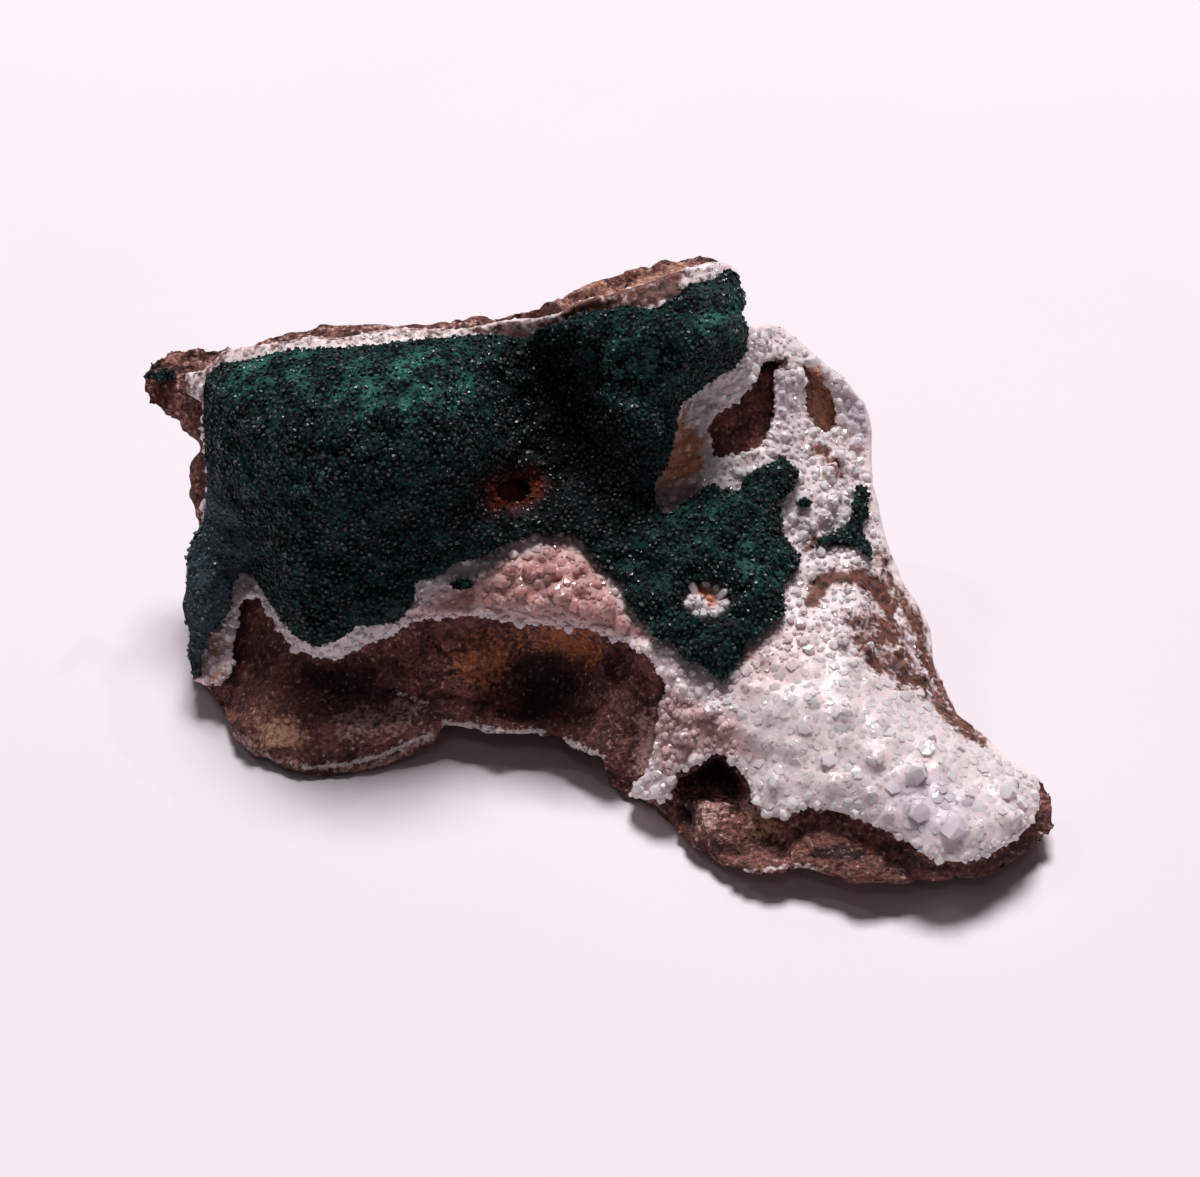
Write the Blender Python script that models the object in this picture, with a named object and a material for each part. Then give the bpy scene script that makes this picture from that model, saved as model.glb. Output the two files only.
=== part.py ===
"""A hand specimen of ball malachite on quartz: brown rock, a quartz crust on it, malachite on the quartz.

The shape was read from one viewpoint. A spot is a place in that view, in its pixels, and every visible
surface is a height above the floor at a spot, so a spot and a height give one point in space. All layers are
built along the same sight lines: the rock's front, the quartz crust before it and the malachite crust before
that. The side turned away from the viewpoint is the rock's own: a broken back, a worn underside and three
flats to rest on. Lengths are millimetres until the meshes are made.
"""

import math
import random

import bpy
import numpy as np
from mathutils import Vector, noise
from mathutils.geometry import delaunay_2d_cdt

MM = 0.001

# The viewpoint that the spots belong to
VIEW_CENTRE = (600.0, 588.5)
VIEW_FOCAL = 2360.0
VIEW_DOWN = math.radians(42.0)
VIEW_DISTANCE = 155.0
VIEW_AIM_HEIGHT = 12.0
SPOTS_PER_MM = 15.25

# Driving dimensions
QUARTZ_THICKNESS = 1.0
MALACHITE_THICKNESS = 1.15
PATCH_THICKNESS = 0.75
QUARTZ_SUNK = 0.45
GAP = 0.42
ROCK_CLEARANCE = 0.15
STRIPE_GAP = 0.7
LUMP_SIZE = 2.3
LUMP_HEIGHT = 0.75
LOWEST_FRONT = 0.15
LEAST_WALL = 0.35
STEEPEST = 0.5
EDGE_CROWN = 0.45
CROWN_WIDTH = 1.6

# Mesh spacing, in spots
SHARED_STEP = 27.0
SHARED_MARGIN = 12.0
ROCK_BACK_STEP = 32.0
MALACHITE_STEP = 16.0
PATCH_STEP = 9.0
EDGE_STEP = 17.0
ROW_SPACING = 0.87
RAGGED_EDGE = 1.1
SHAKE = 0.2
CROWDED = 0.75
BACK_RINGS = (3.0, 9.0, 19.0)
PIT_RIM_STEP = 14.0

# Unevenness of each surface: height and size of its swellings in mm, and which pattern it follows
BARE_ROUGHNESS = (0.35, 2.0, 3.0)
BARE_LUMPS = (0.45, 3.6, 5.0)
UNDERSIDE_ROUGHNESS = (0.35, 2.5, 8.0)
BACK_CHIPS = (0.9, 7.0, 11.0)
BACK_ROUGHNESS = (0.5, 3.0, 2.0)
QUARTZ_ROUGHNESS = (0.16, 0.9, 1.0)
QUARTZ_LUMPS = (0.2, 1.6, 4.0)
MALACHITE_LUMPS = (LUMP_HEIGHT, LUMP_SIZE, 9.0)

# Colours in linear light, and roughness
ROCK_COLOUR = (0.085, 0.040, 0.032)
ROCK_GLOSS = 0.85
QUARTZ_COLOUR = (0.60, 0.54, 0.56)
QUARTZ_GLOSS = 0.35
MALACHITE_COLOUR = (0.010, 0.060, 0.048)
MALACHITE_GLOSS = 0.45

# The whole specimen's outline, clockwise from the tip of the horn
HORN_TO_RIM = [
    (141, 371), (150, 362), (170, 348), (184, 345), (229, 345), (240, 348), (260, 337), (289, 329), (322, 322),
    (398, 324), (440, 321), (480, 314), (497, 317), (536, 307), (541, 299), (580, 287), (617, 275), (650, 263),
    (668, 256), (692, 253), (716, 255),
]
RIGHT_FLANK = [
    (728, 263), (738, 273), (746, 302), (741, 314), (750, 328), (768, 323), (782, 327), (800, 342), (818, 356),
    (847, 381), (865, 403), (872, 430), (873, 485), (881, 517), (892, 556), (902, 581), (915, 599), (930, 628),
    (933, 660), (946, 691), (957, 715), (980, 732), (1004, 755), (1040, 779),
]
ARM_TIP_AND_UNDERSIDE = [
    (1056, 795), (1055, 828), (1037, 848), (1005, 873), (979, 879), (920, 881), (882, 883), (838, 881),
    (805, 868), (794, 872), (751, 874), (722, 868), (692, 848), (660, 820), (642, 802), (622, 801), (606, 781),
    (599, 759), (572, 752), (560, 738), (531, 736), (496, 734), (465, 728), (446, 726),
]
FOOT_EDGE = [
    (433, 745), (400, 764), (360, 775), (325, 778), (282, 771), (248, 757), (235, 742), (222, 722), (215, 695),
]
LEFT_FLANK = [(193, 680), (188, 654), (190, 633), (182, 605), (186, 590), (187, 555), (199, 528)]
BELOW_HORN = [(184, 478), (184, 467), (197, 449), (190, 439), (175, 424), (150, 406), (140, 386)]
OUTLINE = HORN_TO_RIM + RIGHT_FLANK + ARM_TIP_AND_UNDERSIDE + FOOT_EDGE + LEFT_FLANK + BELOW_HORN

# Where the malachite ends on the left, above the flank that reaches the outline
MALACHITE_LEFT = [(203, 520), (207, 490), (205, 440), (203, 420)]

# The quartz sheet, clockwise
QUARTZ_RIM = [
    (203, 402), (187, 394), (185, 373), (203, 371), (222, 352), (253, 346), (275, 343), (310, 336), (340, 338),
    (375, 331), (410, 328), (455, 330), (500, 321), (540, 318), (560, 313), (575, 303), (620, 291), (660, 277),
    (690, 268), (716, 262),
]
QUARTZ_ARM_EDGE = [
    (1036, 791), (1040, 806), (1031, 823), (1016, 840), (992, 853), (960, 862), (927, 857), (907, 841),
    (882, 829), (847, 814), (812, 805), (780, 817), (766, 817), (754, 799),
]
QUARTZ_PIT_EDGE = [(746, 778), (727, 754), (710, 753), (701, 763), (676, 771), (668, 799), (644, 799), (629, 796)]
QUARTZ_FRONT_EDGE = [
    (636, 783), (646, 775), (654, 751), (660, 716), (665, 698), (667, 685), (653, 662), (631, 644), (590, 628),
    (550, 625), (520, 624), (480, 616), (435, 617), (411, 620), (392, 635), (356, 648), (339, 659), (312, 654),
    (296, 650), (281, 632), (269, 612), (258, 595), (244, 596), (239, 607), (235, 630), (232, 673), (222, 683),
    (203, 684),
]
QUARTZ_SHEET = (
    QUARTZ_RIM + RIGHT_FLANK + QUARTZ_ARM_EDGE + QUARTZ_PIT_EDGE + QUARTZ_FRONT_EDGE + LEFT_FLANK + MALACHITE_LEFT
)
BARE_TRIANGLE = [
    (785, 361), (763, 361), (755, 380), (740, 399), (717, 414), (707, 428), (712, 460), (738, 455), (765, 444),
    (775, 417), (774, 386),
]
BARE_TAN_PATCH = [
    (801, 360), (818, 364), (827, 384), (834, 402), (838, 424), (829, 435), (812, 425), (804, 409), (804, 380),
]

# The malachite sheet, clockwise
MALACHITE_TOP = [
    (203, 395), (206, 376), (222, 363), (255, 358), (300, 349), (340, 348), (380, 345), (430, 338), (470, 335),
    (500, 336), (528, 340), (536, 331), (560, 323), (580, 313), (630, 305), (655, 309), (673, 298), (690, 284),
    (715, 280), (727, 268),
]
MALACHITE_CAP = [(738, 273), (746, 302), (741, 314), (749, 330)]
MALACHITE_RIGHT = [
    (746, 353), (732, 370), (710, 382), (681, 403), (676, 423), (671, 452), (660, 476), (653, 488), (659, 511),
    (671, 515), (693, 496), (712, 485), (732, 492), (741, 491), (742, 479), (761, 467), (776, 461), (782, 455),
    (793, 466), (800, 475), (793, 491), (781, 499), (782, 532), (793, 548), (801, 558), (796, 571), (784, 579),
    (785, 614), (770, 625), (752, 641), (735, 667), (720, 683),
]
MALACHITE_FRONT = [
    (712, 671), (700, 663), (683, 660), (676, 643), (652, 636), (650, 625), (632, 611), (623, 594), (626, 584),
    (597, 563), (587, 545), (566, 530), (535, 533), (511, 541), (487, 555), (461, 561), (449, 565), (447, 572),
    (428, 579), (414, 581), (414, 602), (400, 620), (377, 625), (355, 626), (341, 639), (316, 647), (297, 637),
    (281, 620), (269, 599), (256, 577), (242, 570), (233, 583), (230, 611), (211, 632), (202, 654), (201, 677),
]
MALACHITE_SHEET = MALACHITE_TOP + MALACHITE_CAP + MALACHITE_RIGHT + MALACHITE_FRONT + LEFT_FLANK + MALACHITE_LEFT
QUARTZ_KNOT = [(680, 598), (692, 578), (718, 581), (733, 595), (726, 616), (709, 626), (686, 612)]
RUSTY_SPOT = [(494, 484), (506, 478), (522, 480), (532, 490), (524, 502), (506, 503), (496, 496)]

# The separate spots of malachite
RIGHT_PATCH = [
    (858, 484), (868, 488), (868, 500), (870, 514), (862, 524), (866, 538), (874, 549), (871, 561), (860, 547),
    (846, 544), (826, 545), (812, 549), (818, 540), (832, 533), (845, 527), (854, 514), (853, 499),
]
SMALL_SPOT = [(795, 503), (803, 498), (811, 499), (812, 505), (803, 509)]
MOUND_SPOT = [(449, 584), (458, 578), (470, 579), (476, 585), (467, 590), (455, 590)]
HORN_STRIPE = [(145, 374), (160, 369), (172, 370), (176, 374), (175, 379), (160, 381), (147, 381)]
PATCHES = [
    ("malachite_right_patch", RIGHT_PATCH, 41),
    ("malachite_small_spot", SMALL_SPOT, 43),
    ("malachite_mound_spot", MOUND_SPOT, 45),
]
SHEET_PATTERN = 31
STRIPE_PATTERN = 47
SHARED_PATTERN = 11
BACK_PATTERN = 12

# The pit below the arm's root
PIT = [(674, 797), (677, 778), (700, 769), (712, 759), (724, 758), (741, 778), (748, 795), (738, 803), (705, 800)]

# Heights above the floor of the quartz and bare rock skin: view x, view y, height
HORN_HEIGHTS = [
    (141, 380, 18.8), (170, 348, 19.6), (200, 346, 20.6), (229, 345, 21.6), (170, 400, 17.6), (195, 442, 15.6),
    (184, 472, 13.6), (192, 510, 12.0),
]
RIM_HEIGHTS = [
    (260, 337, 22.6), (322, 322, 23.6), (398, 324, 23.6), (440, 321, 23.6), (500, 316, 23.8), (541, 299, 25.0),
    (600, 281, 26.2), (650, 263, 27.4), (692, 253, 28.0), (728, 263, 27.2), (746, 302, 25.2), (745, 330, 23.2),
    (240, 362, 21.6), (320, 347, 23.2), (400, 342, 23.2), (470, 335, 23.2), (560, 320, 24.4), (640, 300, 26.0),
    (700, 278, 27.0),
]
MAIN_BULGE_HEIGHTS = [
    (320, 390, 22.6), (320, 440, 21.3), (320, 500, 17.8), (320, 560, 13.8), (320, 610, 10.5), (320, 645, 8.4),
    (430, 390, 22.8), (440, 450, 20.6), (450, 500, 16.8), (430, 550, 13.6), (400, 600, 11.2), (380, 560, 13.6),
    (235, 390, 20.6), (240, 440, 18.2), (265, 500, 15.2), (290, 560, 12.8), (300, 610, 10.0), (250, 360, 21.8),
]
CREVICE_HEIGHTS = [(222, 470, 15.4), (240, 515, 12.4), (254, 550, 10.0), (264, 580, 8.6)]
LEFT_FLANK_HEIGHTS = [
    (215, 440, 16.8), (210, 500, 13.0), (205, 560, 9.4), (188, 570, 9.0), (200, 620, 6.2), (185, 610, 6.8),
    (195, 678, 2.4), (228, 560, 9.0), (225, 620, 5.8),
]
FOOT_HEIGHTS = [
    (250, 605, 7.6), (255, 640, 5.4), (240, 680, 3.8), (275, 660, 5.2), (300, 690, 4.2), (340, 675, 5.4),
    (330, 705, 3.6), (250, 715, 3.1), (300, 738, 2.5), (360, 730, 2.9), (400, 735, 2.6), (425, 712, 3.4),
    (380, 690, 4.5), (415, 665, 6.0), (440, 640, 8.2), (215, 695, 2.6), (222, 722, 1.6), (248, 755, 0.6),
    (325, 776, 0.3), (400, 762, 0.5), (435, 742, 1.5), (340, 758, 1.3), (270, 752, 1.4),
]
COVE_HEIGHTS = [
    (475, 618, 10.4), (560, 626, 10.6), (600, 634, 10.2), (480, 655, 6.8), (545, 650, 7.2), (505, 675, 4.6),
    (560, 680, 4.4), (480, 700, 3.6), (540, 712, 3.3), (500, 733, 2.9), (565, 738, 3.0), (450, 705, 3.8),
    (452, 727, 2.4), (590, 715, 4.2), (585, 752, 2.9), (590, 660, 7.0),
]
LOBE_HEIGHTS = [
    (628, 645, 10.0), (630, 700, 7.2), (655, 700, 7.6), (630, 750, 4.5), (625, 798, 1.6), (604, 700, 6.0),
    (606, 760, 3.0), (655, 750, 5.0), (655, 800, 2.6),
]
MOUND_HEIGHTS = [
    (560, 540, 13.9), (560, 580, 12.9), (500, 590, 12.0), (440, 600, 11.2), (600, 610, 11.8), (640, 650, 10.3),
]
VALLEY_HEIGHTS = [
    (545, 350, 21.0), (552, 375, 19.2), (548, 410, 17.4), (555, 450, 15.6), (560, 500, 14.0), (600, 520, 13.6),
    (620, 560, 12.3), (500, 520, 14.6),
]
SECOND_BULGE_HEIGHTS = [
    (650, 350, 23.8), (640, 420, 20.0), (640, 470, 16.4), (600, 400, 18.9), (600, 460, 15.5), (700, 345, 24.2),
    (730, 318, 25.0), (700, 305, 26.0), (590, 340, 23.0),
]
WINDOW_HEIGHTS = [
    (745, 420, 17.8), (700, 440, 17.4), (690, 400, 19.4), (740, 475, 15.6), (740, 380, 20.2), (785, 420, 17.2),
    (800, 375, 19.2), (820, 400, 17.2), (850, 450, 14.6), (800, 470, 15.2), (850, 382, 18.2), (800, 341, 20.4),
    (768, 323, 21.6), (873, 440, 14.8), (780, 345, 20.8),
]
LOWER_GREEN_HEIGHTS = [
    (690, 520, 13.8), (740, 520, 14.4), (720, 560, 13.0), (650, 600, 11.4), (650, 550, 13.0), (700, 605, 11.6),
    (750, 600, 11.6), (720, 650, 9.8), (720, 683, 8.6), (670, 650, 9.9),
]
RIGHT_FLANK_HEIGHTS = [
    (820, 500, 14.0), (800, 530, 12.8), (850, 548, 11.8), (883, 525, 11.8), (850, 590, 11.4), (805, 600, 11.0),
    (900, 580, 9.8), (870, 640, 9.8), (820, 650, 10.0), (930, 630, 7.6), (905, 650, 8.4), (935, 668, 6.4),
    (890, 700, 8.6), (780, 640, 10.4),
]
ARM_HEIGHTS = [
    (690, 700, 8.0), (690, 750, 5.6), (725, 745, 6.2), (760, 770, 5.9), (800, 720, 8.6), (760, 700, 8.9),
    (880, 760, 7.7), (820, 780, 6.4), (812, 803, 5.6), (870, 824, 5.2), (950, 800, 6.3), (930, 855, 4.8),
    (960, 861, 4.6), (980, 733, 5.6), (950, 740, 6.9), (1030, 771, 5.0), (1020, 810, 5.2), (1055, 800, 4.2),
    (1010, 845, 4.0), (1050, 828, 3.5), (900, 840, 5.0),
]
ARM_SIDE_HEIGHTS = [
    (715, 808, 3.4), (670, 800, 2.9), (755, 806, 4.6), (660, 818, 1.4), (700, 850, 1.4), (750, 873, 1.7),
    (760, 835, 3.2), (800, 830, 4.3), (820, 850, 3.6), (838, 880, 2.4), (880, 855, 4.1), (882, 882, 2.8),
    (950, 880, 3.2), (1000, 873, 3.3), (1037, 847, 3.2), (700, 820, 2.6),
]
SKIN_HEIGHTS = (
    HORN_HEIGHTS + RIM_HEIGHTS + MAIN_BULGE_HEIGHTS + CREVICE_HEIGHTS + LEFT_FLANK_HEIGHTS + FOOT_HEIGHTS
    + COVE_HEIGHTS + LOBE_HEIGHTS + MOUND_HEIGHTS + VALLEY_HEIGHTS + SECOND_BULGE_HEIGHTS + WINDOW_HEIGHTS
    + LOWER_GREEN_HEIGHTS + RIGHT_FLANK_HEIGHTS + ARM_HEIGHTS + ARM_SIDE_HEIGHTS
)
SKIN_SLACK = 0.0015

# Cracks, ledges and small swellings: line of spots, half width in spots, rise towards the viewpoint in mm
SKIN_LINES = [
    ([(385, 690), (415, 704), (437, 722)], 5.0, -0.9),
    ([(236, 700), (250, 728), (300, 736), (360, 722), (425, 716)], 9.0, 0.55),
    ([(262, 712), (330, 712), (372, 704)], 8.0, -0.45),
    ([(602, 690), (600, 720), (604, 752)], 8.0, 0.6),
    ([(224, 478), (242, 515), (252, 545), (266, 578)], 7.0, -0.9),
    ([(705, 602), (707, 603)], 17.0, 1.1),
    ([(812, 590), (835, 574), (868, 580), (888, 606)], 8.0, -0.7),
    ([(515, 688), (568, 682)], 22.0, -1.1),
    ([(318, 688), (372, 690)], 18.0, -0.7),
    ([(818, 604), (850, 594), (878, 606), (893, 640)], 8.0, 0.45),
    ([(541, 306), (600, 288), (660, 268)], 6.0, -0.5),
]
PIT_DEPTH = 3.4
PIT_WALL = 12.0
PIT_MIDDLE = np.array(PIT, float).mean(axis=0)
PIT_FLOOR_SIZE = 0.55

# The turned-away side: where it faces, and how far out it stands along that way
BACK_FACES = [
    ((0.05, 1.00, 0.10), 19.6),
    ((-0.80, 0.60, 0.00), 32.0),
    ((0.62, 0.78, 0.05), 25.6),
    ((0.05, 0.72, 0.69), 31.0),
    ((-0.30, 0.75, -0.59), 15.2),
    ((0.30, 0.80, -0.50), 15.6),
    ((-0.45, 0.80, 0.40), 28.2),
    ((0.95, 0.20, -0.20), 24.5),
]
# The flats that it rests on: middle and half size on the floor
RESTING_FLATS = [((-15.5, -0.5), (6.5, 4.2)), ((10.5, -8.6), (7.0, 4.4)), ((-1.0, 11.0), (15.0, 5.5))]
UNDERSIDE_SLOPE = 4.2
UNDERSIDE_MOST = 3.6
UNDERSIDE_SHARE = 0.55

# Thickness of the rock behind a spot: it grows from the outline inwards, and is cut by the back faces
EDGE_ROUNDING = 0.75
EDGE_SLOPE = 0.24
LEAST_SHARE = 0.12
CHIPPED_FROM = 1.0
CHIPPED_FULLY = 4.0
UNDERSIDE_PASSES = 6

# Hexagonal crystal points: area on the sheet, how many, least and most radius in mm
ARM_AREA = [
    (760, 690), (830, 690), (900, 715), (950, 740), (1000, 768), (1026, 792), (1020, 822), (980, 848), (930, 845),
    (880, 815), (820, 792), (770, 790), (745, 745),
]
FLANK_AREA = [
    (800, 640), (860, 630), (915, 650), (935, 700), (880, 705), (800, 680), (745, 720), (735, 690), (770, 650),
]
MOUND_AREA = [(440, 596), (500, 563), (560, 545), (590, 570), (615, 600), (640, 632), (560, 612), (480, 606)]
RIGHT_TOP_AREA = [(800, 500), (842, 440), (862, 440), (862, 478), (842, 520), (805, 532), (795, 515)]
ROOT_AREA = [(672, 672), (715, 695), (735, 740), (700, 752), (678, 765), (664, 770), (675, 720)]
POINT_AREAS = [
    (ARM_AREA, 60, 0.50, 0.86),
    (FLANK_AREA, 16, 0.42, 0.62),
    (MOUND_AREA, 14, 0.42, 0.60),
    (RIGHT_TOP_AREA, 9, 0.40, 0.55),
    (ROOT_AREA, 7, 0.45, 0.62),
]
LARGEST_POINTS = [(921, 811, 0.85), (925, 750, 0.70), (915, 777, 0.92), (950, 826, 0.98), (1006, 790, 0.75)]
POINT_SIDES = 6
POINT_TAPER = 0.86
POINT_TIP = 0.55
POINT_TILT = 0.35
POINT_TRIES = 30
POINT_SPACE = 3.0
POINT_LEAST_HEIGHT = 0.6
POINT_MOST_HEIGHT = 1.05
SHEET_MARGIN = 5.0
POINT_MARGIN = 7.0


def clear_scene():
    """Removes what the scene holds at the start."""
    for thing in list(bpy.data.objects):
        bpy.data.objects.remove(thing, do_unlink=True)


def eye():
    """The viewpoint."""
    back = VIEW_DISTANCE * math.cos(VIEW_DOWN)
    up = VIEW_DISTANCE * math.sin(VIEW_DOWN)
    return np.array([0.0, -back, VIEW_AIM_HEIGHT + up])


def sight_lines(spots):
    """Unit vectors from the viewpoint through spots."""
    across = (spots[:, 0] - VIEW_CENTRE[0]) / VIEW_FOCAL
    above = (VIEW_CENTRE[1] - spots[:, 1]) / VIEW_FOCAL
    sine = math.sin(VIEW_DOWN)
    cosine = math.cos(VIEW_DOWN)
    lines = np.column_stack([across, above * sine + cosine, above * cosine - sine])
    return lines / np.linalg.norm(lines, axis=1)[:, None]


def smooth_step(value, low, high):
    """0 below low, 1 above high, smooth between."""
    part = np.clip((value - low) / (high - low), 0.0, 1.0)
    return part * part * (3.0 - 2.0 * part)


def line_distance(spots, line, closed=False):
    """Distance of each spot to a line of spots."""
    line = np.array(line, float)
    ends = np.roll(line, -1, axis=0) if closed else line[1:]
    starts = line if closed else line[:-1]
    nearest = np.full(len(spots), np.inf)
    for start, end in zip(starts, ends):
        way = end - start
        along = np.clip(((spots - start) @ way) / max(way @ way, 1e-9), 0.0, 1.0)
        away = np.linalg.norm(spots - (start + along[:, None] * way), axis=1)
        nearest = np.minimum(nearest, away)
    return nearest


def inside(spots, polygon):
    """Whether each spot is in the polygon."""
    polygon = np.array(polygon, float)
    found = np.zeros(len(spots), bool)
    for (x0, y0), (x1, y1) in zip(polygon, np.roll(polygon, -1, axis=0)):
        spans = (y0 > spots[:, 1]) != (y1 > spots[:, 1])
        rise = y1 - y0 if y1 != y0 else 1e-9
        found ^= spans & (spots[:, 0] < (x1 - x0) * (spots[:, 1] - y0) / rise + x0)
    return found


def depth_inside(spots, polygon):
    """Distance to the polygon's edge, positive inside it and negative outside."""
    away = line_distance(spots, polygon, closed=True)
    return np.where(inside(spots, polygon), away, -away)


def kernel(spots, knots):
    """The thin plate's bending term."""
    square = ((spots[:, None, :] - knots[None, :, :]) ** 2).sum(axis=2)
    return square * np.log(square + 1e-9)


class Plate:
    """A thin plate bent through the landmark heights."""

    SCALE = 100.0

    def __init__(self, landmarks, slack):
        table = np.array(landmarks, float)
        self.knots = table[:, :2] / self.SCALE
        count = len(table)
        flat = np.column_stack([np.ones(count), self.knots])
        bend = kernel(self.knots, self.knots) + slack * np.eye(count)
        system = np.block([[bend, flat], [flat.T, np.zeros((3, 3))]])
        self.weights = np.linalg.solve(system, np.concatenate([table[:, 2], np.zeros(3)]))

    def heights(self, spots):
        at = spots / self.SCALE
        flat = np.column_stack([np.ones(len(at)), at])
        count = len(self.knots)
        return kernel(at, self.knots) @ self.weights[:count] + flat @ self.weights[count:]


PLATE = Plate(SKIN_HEIGHTS, SKIN_SLACK)


def lumps(points, size, seed):
    """Rounded cells of about the given size, 1 at a cell's middle and 0 between cells."""
    values = np.empty(len(points))
    for index, point in enumerate(points):
        place = Vector(point) / size + Vector((seed, seed, seed))
        near = noise.voronoi(place)[0]
        values[index] = 1.0 - min(near[0] / max(near[1], 1e-6), 1.0) ** 2
    return values


def rough(points, size, seed):
    """Soft noise between about -1 and 1."""
    offset = Vector((seed, -seed, seed * 0.5))
    return np.array([noise.noise(Vector(point) / size + offset) for point in points])


def rough_layer(points, unevenness):
    """Soft noise as a height in mm."""
    height, size, pattern = unevenness
    return height * rough(points, size, pattern)


def lump_layer(points, unevenness):
    """Rounded cells as a height in mm."""
    height, size, pattern = unevenness
    return height * lumps(points, size, pattern)


def skin_distance(spots):
    """How far along its sight line each spot meets the skin."""
    lines = sight_lines(spots)
    heights = np.maximum(PLATE.heights(spots), LOWEST_FRONT)
    away = (heights - eye()[2]) / lines[:, 2]
    for line, width, rise in SKIN_LINES:
        away -= rise * np.exp(-((line_distance(spots, line) / width) ** 2))
    return away


def facing(spots):
    """Unit normals of the skin, towards the viewpoint, and their cosine with the sight line."""
    step = 4.0
    across = np.array([step, 0.0])
    down = np.array([0.0, step])
    start = eye()

    def at(where):
        return start + skin_distance(where)[:, None] * sight_lines(where)

    side = at(spots + across) - at(spots - across)
    fall = at(spots + down) - at(spots - down)
    normals = np.cross(fall, side)
    normals /= np.linalg.norm(normals, axis=1)[:, None]
    cosine = -(normals * sight_lines(spots)).sum(axis=1)
    turned = np.where(cosine < 0, -1.0, 1.0)
    return normals * turned[:, None], np.abs(cosine)


def stretched(spots, thickness):
    """A thickness across the skin, as a length along the sight line."""
    return thickness / np.maximum(facing(spots)[1], STEEPEST)


def on_lines(spots, distance):
    """Points at a distance along the sight lines, kept above the floor."""
    lines = sight_lines(spots)
    floor = (LOWEST_FRONT - eye()[2]) / lines[:, 2]
    return eye() + np.minimum(distance, floor)[:, None] * lines


def covered(spots):
    """1 under the quartz and in its two windows, falling to 0 away from it."""
    return smooth_step(depth_inside(spots, QUARTZ_SHEET), -46.0, -16.0)


def rock_distance(spots):
    """How far along its sight line each spot meets the rock's front."""
    below = stretched(spots, QUARTZ_THICKNESS) + GAP + ROCK_CLEARANCE
    away = skin_distance(spots) + below * covered(spots)
    away += PIT_DEPTH * smooth_step(depth_inside(spots, PIT), 0.0, PIT_WALL)
    bare = 1.0 - covered(spots)
    points = eye() + away[:, None] * sight_lines(spots)
    away -= bare * (rough_layer(points, BARE_ROUGHNESS) + lump_layer(points, BARE_LUMPS))
    return away


def underside_height(points, front_heights):
    """Height of the hollowed underside, 0 on the flats."""
    nearest = np.full(len(points), np.inf)
    for (x, y), (width, depth) in RESTING_FLATS:
        reach = np.hypot((points[:, 0] - x) / width, (points[:, 1] - y) / depth)
        nearest = np.minimum(nearest, reach)
    rise = np.clip(UNDERSIDE_SLOPE * (nearest - 1.0), 0.0, UNDERSIDE_MOST)
    rise += rough_layer(points, UNDERSIDE_ROUGHNESS) * smooth_step(rise, 0.1, 1.0)
    return np.clip(rise, 0.0, UNDERSIDE_SHARE * front_heights)


def rock_back(spots, depth):
    """Points of the turned-away side behind spots that lie this deep inside the outline."""
    start = eye()
    lines = sight_lines(spots)
    front = rock_distance(spots)
    points = start + front[:, None] * lines
    front_heights = np.maximum(points[:, 2], LOWEST_FRONT)
    room = EDGE_ROUNDING * np.sqrt(np.maximum(depth, 0.0)) + EDGE_SLOPE * np.maximum(depth, 0.0)
    least = np.minimum(room, LEAST_WALL)
    for way, reach in BACK_FACES:
        way = np.array(way) / np.linalg.norm(way)
        ahead = (reach - points @ way) / np.maximum(lines @ way, 1e-3)
        ahead = np.where(lines @ way > 0.02, ahead, np.inf)
        room = np.minimum(room, np.maximum(ahead, LEAST_SHARE * room + least))
    behind = points + room[:, None] * lines
    chips = lump_layer(behind, BACK_CHIPS) + rough_layer(behind, BACK_ROUGHNESS)
    room = np.maximum(room - chips * smooth_step(room, CHIPPED_FROM, CHIPPED_FULLY), least)
    for _ in range(UNDERSIDE_PASSES):
        behind = points + room[:, None] * lines
        sill = underside_height(behind, front_heights)
        to_sill = (sill - points[:, 2]) / lines[:, 2]
        room = np.where(behind[:, 2] < sill, np.maximum(to_sill, least), room)
    behind = points + room[:, None] * lines
    behind[:, 2] = np.maximum(behind[:, 2], 0.0)
    return behind


def along(line, step):
    """Spots at even steps round a closed line of spots: its own corners, and ragged places between them."""
    draw = random.Random(len(line))
    corners = [np.array(spot, float) for spot in line]
    spots = []
    for start, end in zip(corners, corners[1:] + corners[:1]):
        way = end - start
        length = np.linalg.norm(way)
        side = np.array([-way[1], way[0]]) / length
        count = max(1, round(length / step))
        spots.append(start)
        for part in range(1, count):
            ragged = draw.choice((-1.0, 1.0)) * draw.uniform(0.5, 1.0) * RAGGED_EDGE
            spots.append(start + way * part / count + side * ragged)
    return np.array(spots)


def scatter(polygon, holes, step, margin, seed):
    """Spots in rows across a polygon, shaken a little, clear of its edges and of its holes."""
    draw = random.Random(seed)
    corners = np.array(polygon, float)
    low = corners.min(axis=0)
    high = corners.max(axis=0)
    rows = []
    for row in range(int((high[1] - low[1]) / (step * ROW_SPACING)) + 1):
        for place in range(int((high[0] - low[0]) / step) + 1):
            x = low[0] + (place + (row % 2) / 2 + draw.uniform(-SHAKE, SHAKE)) * step
            y = low[1] + (row * ROW_SPACING + draw.uniform(-SHAKE, SHAKE)) * step
            rows.append((x, y))
    return within(np.array(rows), polygon, holes, margin)


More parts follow.
